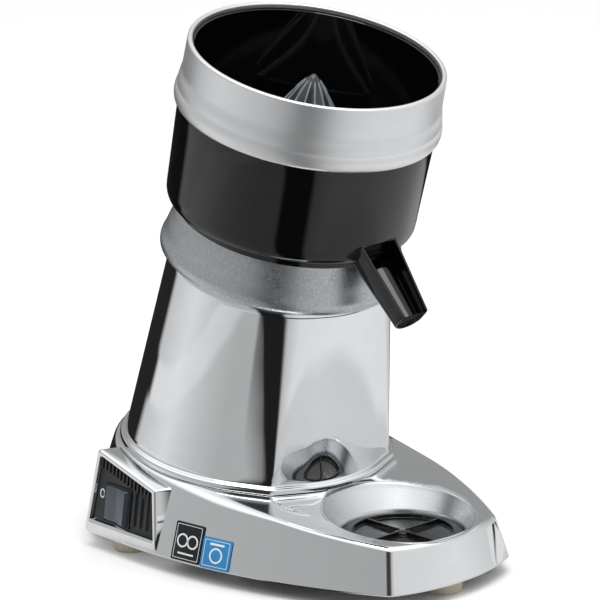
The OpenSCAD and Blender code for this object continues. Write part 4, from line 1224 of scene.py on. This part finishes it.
@dataclass
class SwitchUnit:
    """The chromed switch frame on the side, its black panel with louvres, and the rocker."""

    face_x: float = -106.0
    foot: float = 10.0
    lean: float = 8.5
    outline: tuple[Flat, ...] = ((21.0, 10.0), (91.0, 10.0), (85.0, 67.0), (27.0, 52.0))
    frame_w: float = 3.5
    band: float = 9.0
    depth: float = 24.0
    recess: float = 3.0
    rocker: Solid = (7.5, 64.0, 33.0)
    rocker_size: Flat = (21.8, 23.0)
    splay: float = 8.0
    rest_turn: float = 9.0

    def place(self) -> Matrix:
        """Placement of the leaning face: x into the base, y to the rear, z up the face."""
        turn = Matrix.Rotation(math.radians(self.lean), 4, "Y")
        return (Matrix.Translation((self.face_x * MM, 0.0, self.foot * MM)) @ turn
                @ Matrix.Translation((0.0, 0.0, -self.foot * MM)))

    def _ring(self, depth: float, width: float, radius: float, splay: float = 0.0) -> list[Solid]:
        """The frame's outline at a depth, set in by width; the foot band is deeper than the sides.

        Args:
            depth: how far behind the face.
            width: how far the outline is set in.
            radius: the rounding of its corners.
            splay: how far the side towards the glass spreads where it runs back to the wall.

        Returns:
            The row's points, as (depth, y, z).
        """
        outer = inset(self.outline, width) if width else list(self.outline)
        outer[0] = (outer[0][0] - 0.45 * splay, outer[0][1])
        outer[3] = (outer[3][0] - splay, outer[3][1] + 0.3 * splay)
        if width:
            low = self.foot + self.band * min(1.0, width / self.frame_w)
            outer = [(y, max(z, low)) for y, z in outer]
        return [(depth, y, z) for y, z in rounded([(y, z, radius) for y, z in outer], 5)]

    def build(self) -> list[bpy.types.Object]:
        """Makes the frame, the panel, the louvres, the rocker and its marks."""
        frame_shell = Shell()
        w = self.frame_w
        frame_shell.loft([
            self._ring(self.depth, 0.0, 2.5, self.splay), self._ring(9.6, 0.0, 2.5, self.splay),
            self._ring(1.8, 0.0, 2.5), self._ring(0.7, 0.35, 2.4),
            self._ring(0.1, 1.0, 2.0), self._ring(0.0, 1.5, 1.8), self._ring(0.0, w - 0.8, 1.4),
            self._ring(0.15, w - 0.3, 1.3), self._ring(0.7, w, 1.2), self._ring(self.depth, w, 1.2),
        ], ends=False)
        pieces = [dress(frame_shell.build("switch_frame", self.place(), 32), CHROME, "body", "chrome",
                        "switch_housing")]
        panel = softened("switch_plate", 0.35, "switch_panel")
        pieces.append(dress(panel, MATT_BLACK, "body", "black_matte"))
        well = softened("switch_body", 0.3, "switch_well")
        pieces.append(dress(well, MATT_BLACK, "body", "black_matte"))
        pieces.append(self._louvres())
        pieces += self._rocker()
        return pieces

    def _louvres(self) -> bpy.types.Object:
        """A row of short upright fins under the panel's top edge, by nodes."""
        fin = Shell()
        section = rounded([(-0.8, 0.0, 0.3), (0.8, 0.0, 0.3), (0.8, 8.0, 0.5), (-0.8, 8.0, 0.5)], 3)
        fin.loft([[(x, u, v) for u, v in section] for x in (self.recess + 0.6, self.recess - 1.2)], ends=True)
        piece = fin.build("panel_louvres")
        first = (0.0, 31.5, 41.6)
        place = self.place() @ Matrix.Translation([c * MM for c in first])
        Repeat(15, 0.0, 0.0, (0.0, 3.55, 0.918)).run(piece, MATT_BLACK, place)
        return dress(piece, MATT_BLACK, "body", "black_matte")

    def _rocker(self) -> list[bpy.types.Object]:
        """The rocker, dished across its two halves, and the 0 printed beside it on the panel."""
        x, y, z = self.rocker
        wide, tall = self.rocker_size
        half = wide / 2
        face = [(-7.0, -half), (-6.55, -half * 0.62), (-5.9, -half * 0.25), (-5.55, 0.0),
                (-5.9, half * 0.25), (-6.55, half * 0.62), (-7.0, half)]
        front = flowing(face, 4)
        outline = rounded([(3.0, -3.0, 0.5), (0.0, -half, 0.5), (-7.0, -half, 0.0)], 3)[:-1]
        outline = [*outline, *front, *rounded([(-7.0, half, 0.0), (0.0, half, 0.5), (3.0, 3.0, 0.5)], 3)[1:]]

        def row(height: float, shrink: float) -> list[Solid]:
            """The outline at a height, drawn in towards its middle."""
            return [(-2.0 + (u + 2.0) * (1 - shrink / 5), v * (1 - shrink / half), height)
                    for u, v in outline]

        shell = Shell()
        shell.loft([row(0.0, 0.7), row(0.2, 0.25), row(0.7, 0.0), row(tall / 2, 0.0), row(tall - 0.7, 0.0),
                    row(tall - 0.2, 0.25), row(tall, 0.7)], ends=True)
        place = (self.place() @ Matrix.Translation((x * MM, y * MM, (z - tall / 2) * MM))
                 @ Matrix.Rotation(math.radians(-self.rest_turn), 4, "Z"))
        body = dress(shell.build("rocker_skin", place, 40), ROCKER_GREY, "rocker", "grey_rocker", "rocker")
        marks = Shell()
        circle = even_turns(40)
        surface = self.recess
        marks.loft([[(depth, y + half + 4.6 + (2.3 - width) * math.cos(a),
                      z + 4.8 + (3.1 - width) * math.sin(a)) for a in circle] for depth, width in
                    ((surface + 0.4, 0.0), (surface - 0.1, 0.0), (surface - 0.1, 0.8), (surface + 0.4, 0.8))],
                   ends=False)
        ink = dress(marks.build("panel_mark", self.place(), 30), INK_WHITE, "body", "black_matte")
        return [body, ink]


# ---------------------------------------------------------------- labels and feet


@dataclass
class SideLabel:
    """A printed film plate on the near side wall, with a plain generic figure on it."""

    name: str
    node: str
    y: float
    z: float
    width: float
    height: float
    film: Finish
    base: Base

    def place(self) -> Matrix:
        """Placement on the side wall: x out of the wall is negative, y to the rear, z up."""
        side_r = self.base.side_radius()
        back = self.base.rear_y - self.y
        x = self.base.half_width - side_r + math.sqrt(side_r ** 2 - back ** 2)
        x -= (self.z - self.base.foot) * tan(self.base.draft)
        return (Matrix.Translation((-x * MM, self.y * MM, self.z * MM))
                @ Matrix.Rotation(math.asin(back / side_r), 4, "Z")
                @ Matrix.Rotation(math.radians(self.base.draft), 4, "Y"))

    def _frame(self, shell: Shell, inset_by: float, line: float, surface: float) -> None:
        """Adds a thin printed border to a shell."""
        rows: list[list[Solid]] = []
        for depth, extra in ((surface + 0.2, 0.0), (surface - 0.04, 0.0), (surface - 0.04, line),
                             (surface + 0.2, line)):
            w, h = self.width / 2 - inset_by - extra, self.height / 2 - inset_by - extra
            rows.append([(depth, y, z) for y, z in
                         rounded([(-w, -h, 0.8), (w, -h, 0.8), (w, h, 0.8), (-w, h, 0.8)], 3)])
        shell.loft(rows, ends=False)

    def build(self, discs: Sequence[Solid], bars: Sequence[tuple[float, float, float, float]],
              border: float) -> list[bpy.types.Object]:
        """Makes the film and its print.

        Args:
            discs: rings of the figure as (y, z, radius).
            bars: its bars as (y, z, width, height).
            border: how far the printed border is set in.

        Returns:
            The film and its print.
        """
        plate = Shell()
        w, h = self.width / 2 - 0.1, self.height / 2 - 0.1
        rim = [(-w, -h, 1.2), (w, -h, 1.2), (w, h, 1.2), (-w, h, 1.2)]
        slim = [(y * 0.985, z * 0.985, r) for y, z, r in rim]
        plate.loft([[(-0.05, y, z) for y, z in rounded(rim, 4)], [(-0.5, y, z) for y, z in rounded(rim, 4)],
                    [(-0.6, y, z) for y, z in rounded(slim, 4)]], ends=True)
        slot = "label_blue" if self.film is FILM_BLUE else "label_black"
        film = dress(plate.build(self.name, self.place(), 30), self.film, "body", slot, self.node)
        ink = Shell()
        self._frame(ink, border, 0.35, -0.6)
        turns = even_turns(40)
        for y, z, r in discs:
            ink.loft([[(d, y + (r - e) * math.cos(a), z + (r - e) * math.sin(a)) for a in turns]
                      for d, e in ((-0.4, 0.0), (-0.64, 0.0), (-0.64, 1.1), (-0.4, 1.1))], ends=False)
        for y, z, wide, high in bars:
            box = rounded([(y - wide / 2, z - high / 2, 0.3), (y + wide / 2, z - high / 2, 0.3),
                           (y + wide / 2, z + high / 2, 0.3), (y - wide / 2, z + high / 2, 0.3)], 2)
            ink.loft([[(d, u, v) for u, v in box] for d in (-0.4, -0.64)], ends=True)
        printed = ink.build(self.name + "_print", self.place(), 30)
        return [film, dress(printed, INK_WHITE, "body", slot)]


@dataclass
class Feet:
    """The three rubber feet, each with a recess for its screw."""

    places: tuple[Flat, ...] = ((0.0, -134.0), (-87.3, 66.0), (87.3, 66.0))
    radius: float = 12.0
    height: float = 10.0

    def build(self) -> bpy.types.Object:
        """Makes the feet as one piece of three closed skins."""
        shell = Shell()
        profile = rounded([(2.3, 5.0, 0.0), (5.0, 5.0, 0.2), (5.0, 0.0, 0.6), (self.radius - 1.2, 0.0, 1.2),
                           (self.radius - 0.5, 5.0, 0.0), (self.radius, self.height, 0.4),
                           (2.3, self.height, 0.0)], 4)
        for place in self.places:
            shell.lathe(profile, 64, place)
        return dress(shell.build("rubber_feet"), FOOT_RUBBER, "body", "foot_rubber", "feet")


# ---------------------------------------------------------------- the pieces that keep their CAD shape


@dataclass
class Inside:
    """Motor, fastenings and other pieces whose CAD shape is right: they get their finishes."""

    finishes: dict[str, Finish] = field(default_factory=lambda: {
        "bottom_plate": SHEET_STEEL, "bottom_screws": ZINC, "foot_screws": ZINC, "cover_screws": ZINC,
        "shaft_seal": BLACK_RUBBER, "upper_end_shield": DIE_CAST, "lower_end_shield": DIE_CAST,
        "stator_core": CORE_STEEL, "stator_windings": COPPER, "motor_tie_bolts": ZINC,
        "motor_screws": ZINC, "upper_bearing": GROUND_STEEL, "lower_bearing": GROUND_STEEL,
        "motor_shaft": GROUND_STEEL, "rotor_core": CORE_STEEL, "cooling_fan": MATT_BLACK,
        "drive_pin": GROUND_STEEL, "capacitor": NYLON, "capacitor_clip": ZINC,
        "terminal_block": NYLON, "cable_gland": BLACK_RUBBER, "strainer": STAINLESS,
    })

    def build(self) -> int:
        """Gives every CAD node a finish and returns how many have one."""
        for name, node in frame["nodes"].items():
            finish = self.finishes.get(name, MATT_BLACK)
            node.data.materials.clear()
            node.data.materials.append(finish.material())
        return len(frame["nodes"])


# ---------------------------------------------------------------- studio


@dataclass
class Studio:
    """A pale floor, a soft surround with a light overhead, and the camera."""

    azimuth: float = 43.56
    elevation: float = 15.84
    roll: float = 0.45
    distance: float = 2600.0
    aim: Solid = (0.0, 7.5, 161.89)
    aside: float = 7.88
    focal: float = 4030.0
    frame_size: float = 600.0
    floor_r: float = 8000.0
    painted_light_pool: Flat = (900.0, 2600.0)
    high_room: tuple[Flat, ...] = ((0, 0.8), (22, 0.6), (36, 0.06), (60, 0.05), (70, 0.45), (116, 0.5),
                                   (140, 0.54), (178, 0.5), (200, 0.36), (256, 0.36), (268, 0.55),
                                   (287, 0.72), (318, 0.88), (359.9, 0.8))
    # stops of the floor's painted reflection glow: brightness by direction of the made-up room that mirrors
    # see
    painted_room_low: tuple[Flat, ...] = ((0, 0.9), (20, 0.85), (33, 0.6), (37, 0.015), (59, 0.015), (63, 0.5),
                                  (80, 0.5), (100, 0.6), (130, 0.85), (163, 0.65), (169, 0.02), (224, 0.02),
                                  (238, 0.05), (248, 0.5), (270, 0.85), (320, 0.92), (359.9, 0.9))
    painted_dark_band: tuple[Flat, ...] = ((0, 0.2), (37, 0.01), (59, 0.01), (62, 0.6), (135, 0.9), (160, 0.85),
                                   (165, 0.02), (290, 0.02), (297, 0.6), (312, 0.6), (320, 0.25), (359.9, 0.2))
    band: Flat = (730.0, 1010.0)
    band_soft: float = 40.0
    painted_room_near: tuple[Flat, ...] = ((0, 0.75), (33, 0.65), (37, 0.015), (59, 0.015), (63, 0.56), (359.9, 0.75))
    near: Solid = (40.0, -110.0, 240.0)
    near_soft: float = 30.0

    def camera(self) -> bpy.types.Object:
        """Makes the camera at its viewing angle and hands it to the scene."""
        a, e, roll = (math.radians(v) for v in (self.azimuth, self.elevation, self.roll))
        back = Vector((-math.sin(a) * math.cos(e), -math.cos(a) * math.cos(e), math.sin(e)))
        right = (-back).cross(Vector((0, 0, 1))).normalized()
        up = right.cross(-back)
        x = math.cos(roll) * right - math.sin(roll) * up
        y = math.sin(roll) * right + math.cos(roll) * up
        where = Vector(self.aim) + right * self.aside + back * self.distance
        data = bpy.data.cameras.new("camera")
        data.sensor_width = 36.0
        data.lens = 36.0 * self.focal / self.frame_size
        data.clip_start, data.clip_end = 0.05, 60.0
        camera = bpy.data.objects.new("camera", data)
        turn = Matrix((x, y, back)).transposed().to_4x4()
        camera.matrix_world = Matrix.Translation(where * MM) @ turn
        bpy.context.scene.collection.objects.link(camera)
        bpy.context.scene.camera = camera
        return camera

    def floor(self) -> bpy.types.Object:
        """Makes the pale floor, with a painted pool of light round the object and a painted reflection glow
        for mirrors.
        """
        shell = Shell()
        turns = even_turns(96)
        shell.loft([[(r * math.cos(a), r * math.sin(a), z) for a in turns]
                    for r, z in ((self.floor_r, -20.0), (self.floor_r, 0.0), (self.floor_r / 3, 0.0),
                                 (0.0, 0.0))], ends=True)
        floor = shell.build("floor")
        paint = bpy.data.materials.new("pale_floor_with_painted_light")
        paint.use_nodes = True
        tree = paint.node_tree
        tree.nodes.clear()
        # painted pool of light: white round the object and behind it, falling off to pale grey at the sides,
        # as if the light fell off there
        where = add(tree, "ShaderNodeTexCoord").outputs["Object"]
        turned = add(tree, "ShaderNodeMapping", {"vector_type": "TEXTURE"},
                     {"Vector": where, "Rotation": (0.0, 0.0, math.radians(-self.azimuth)),
                      "Scale": (self.painted_light_pool[0] * MM, self.painted_light_pool[1] * MM, 1.0)})
        away = add(tree, "ShaderNodeVectorMath", {"operation": "LENGTH"}, {0: turned.outputs[0]})
        painted_falloff = fade(tree, away.outputs["Value"], 0.7, 1.6)
        tone = blend(tree, painted_falloff, linear("F6F6F6"), linear("A8AAAC"))
        shader = add(tree, "ShaderNodeBsdfPrincipled", None,
                     {"Base Color": tone, "Roughness": 0.9, "Specular IOR Level": 0.2})
        # painted reflection: for glossy rays only, the floor glows with a made-up dim room beyond it, which is
        # what mirrors see below the horizon
        parts = add(tree, "ShaderNodeSeparateXYZ", None, {0: where})
        far = add(tree, "ShaderNodeVectorMath", {"operation": "LENGTH"}, {0: where})
        entry, leaving = (fade(tree, far.outputs["Value"], (edge - self.band_soft) * MM,
                               (edge + self.band_soft) * MM) for edge in self.band)
        within = calc(tree, "SUBTRACT", entry, leaving)
        banded = blend(tree, within, self._round_room(tree, parts, self.painted_room_low),
                       self._round_room(tree, parts, self.painted_dark_band))
        shifted = add(tree, "ShaderNodeVectorMath", {"operation": "DISTANCE"},
                      {0: where, 1: (self.near[0] * MM, self.near[1] * MM, 0.0)})
        outside = fade(tree, shifted.outputs["Value"], (self.near[2] - self.near_soft) * MM,
                       (self.near[2] + self.near_soft) * MM)
        room = blend(tree, outside, self._round_room(tree, parts, self.painted_room_near), banded)
        painted_reflection_glow = add(tree, "ShaderNodeEmission", None, {"Color": room, "Strength": 1.0})
        # glossy rays see the painted reflection glow, other rays the diffuse floor
        ray = add(tree, "ShaderNodeLightPath")
        either = add(tree, "ShaderNodeMixShader", None,
                     {0: ray.outputs["Is Glossy Ray"], 1: shader.outputs[0], 2: painted_reflection_glow.outputs[0]})
        add(tree, "ShaderNodeOutputMaterial", None, {"Surface": either.outputs[0]})
        floor.data.materials.append(paint)
        return floor

    def surround(self) -> None:
        """The studio round the object: brightness by compass direction, and a bright ceiling."""
        world = bpy.data.worlds.new("studio")
        bpy.context.scene.world = world
        world.use_nodes = True
        tree = world.node_tree
        tree.nodes.clear()
        way = add(tree, "ShaderNodeTexCoord").outputs["Generated"]
        parts = add(tree, "ShaderNodeSeparateXYZ", None, {0: way})
        around = self._round_room(tree, parts, self.high_room)
        rise = fade(tree, parts.outputs[2], 0.5, 0.8)
        room = blend(tree, rise, around, (1.3, 1.3, 1.3, 1.0))
        light = add(tree, "ShaderNodeBackground", None, {"Color": room, "Strength": 1.0})
        add(tree, "ShaderNodeOutputWorld", None, {"Surface": light.outputs[0]})

    def _round_room(self, tree: bpy.types.NodeTree, parts: bpy.types.Node,
                    stops: Sequence[Flat]) -> bpy.types.NodeSocket:
        """Brightness by compass direction, from the glass side (0) past the switch side (90).

        Args:
            tree: the node tree.
            parts: the node that splits a direction into x, y and z.
            stops: (degrees, brightness) pairs.

        Returns:
            The socket with the brightness as a colour.
        """
        east = calc(tree, "MULTIPLY", parts.outputs[0], -1.0)
        north = calc(tree, "MULTIPLY", parts.outputs[1], -1.0)
        share = calc(tree, "DIVIDE", calc(tree, "ARCTAN2", east, north), 2 * math.pi)
        ramp = add(tree, "ShaderNodeValToRGB", None, {0: calc(tree, "FRACT", share)})
        self._stops(ramp, stops)
        return ramp.outputs[0]

    @staticmethod
    def _stops(ramp: bpy.types.Node, stops: Sequence[Flat]) -> None:
        """Sets a ramp's stops from (degrees, brightness) pairs."""
        elements = ramp.color_ramp.elements
        while len(elements) > 1:
            elements.remove(elements[-1])
        for k, (degrees, value) in enumerate(stops):
            element = elements[0] if k == 0 else elements.new(degrees / 360)
            element.position = degrees / 360
            element.color = (value, value, value, 1.0)

    def lamp(self, name: str, where: Solid, target: Solid, size: float, power: float) -> None:
        """Adds one large soft lamp; where, target and size are in millimetres, power in watts."""
        data = bpy.data.lights.new(name, "AREA")
        data.shape = "DISK"
        data.size = size * MM
        data.energy = power
        lamp = bpy.data.objects.new(name, data)
        spot = Vector(where) * MM
        turn = (Vector(target) * MM - spot).to_track_quat("-Z", "Y").to_matrix().to_4x4()
        lamp.matrix_world = Matrix.Translation(spot) @ turn
        bpy.context.scene.collection.objects.link(lamp)

    def build(self) -> None:
        """Sets up the whole studio."""
        self.camera()
        self.floor()
        self.surround()
        self.lamp("overhead_softbox", (-300.0, -500.0, 2400.0), (0.0, 0.0, 100.0), 1500.0, 22.0)
        bpy.context.scene.view_settings.view_transform = "Standard"


def main() -> None:
    """Builds the studio and every piece in order, and reports each."""
    logging.basicConfig(level=logging.INFO, format="%(message)s")
    Studio().build()
    log.info("studio ready; %d CAD nodes dressed", Inside().build())
    base = Base()
    made: list[bpy.types.Object] = [base.build(), Tower(base).build(), MotorCover().build(), Bowl().build(),
                                    BowlRing().build()]
    made += Squeezer().build()
    made += GlassDish(base).build()
    made += SwitchUnit().build()
    made += SideLabel("black_plate", "black_label", y=-2.4, z=23.2, width=23.4, height=25.0,
                      film=FILM_BLACK, base=base).build(
        [(-3.9, 0.6, 4.5), (4.3, 0.6, 4.5)], [(0.2, -7.6, 13.0, 1.1)], 1.5)
    made += SideLabel("blue_plate", "blue_label", y=-25.6, z=20.4, width=22.6, height=20.0,
                      film=FILM_BLUE, base=base).build(
        [(0.0, -1.2, 5.0)], [(0.0, 5.9, 11.0, 1.4)], 1.6)
    made.append(Feet().build())
    for piece in made:
        log.info("%s: %d faces", piece.name, len(piece.data.polygons))


if __name__ == "__main__":
    main()
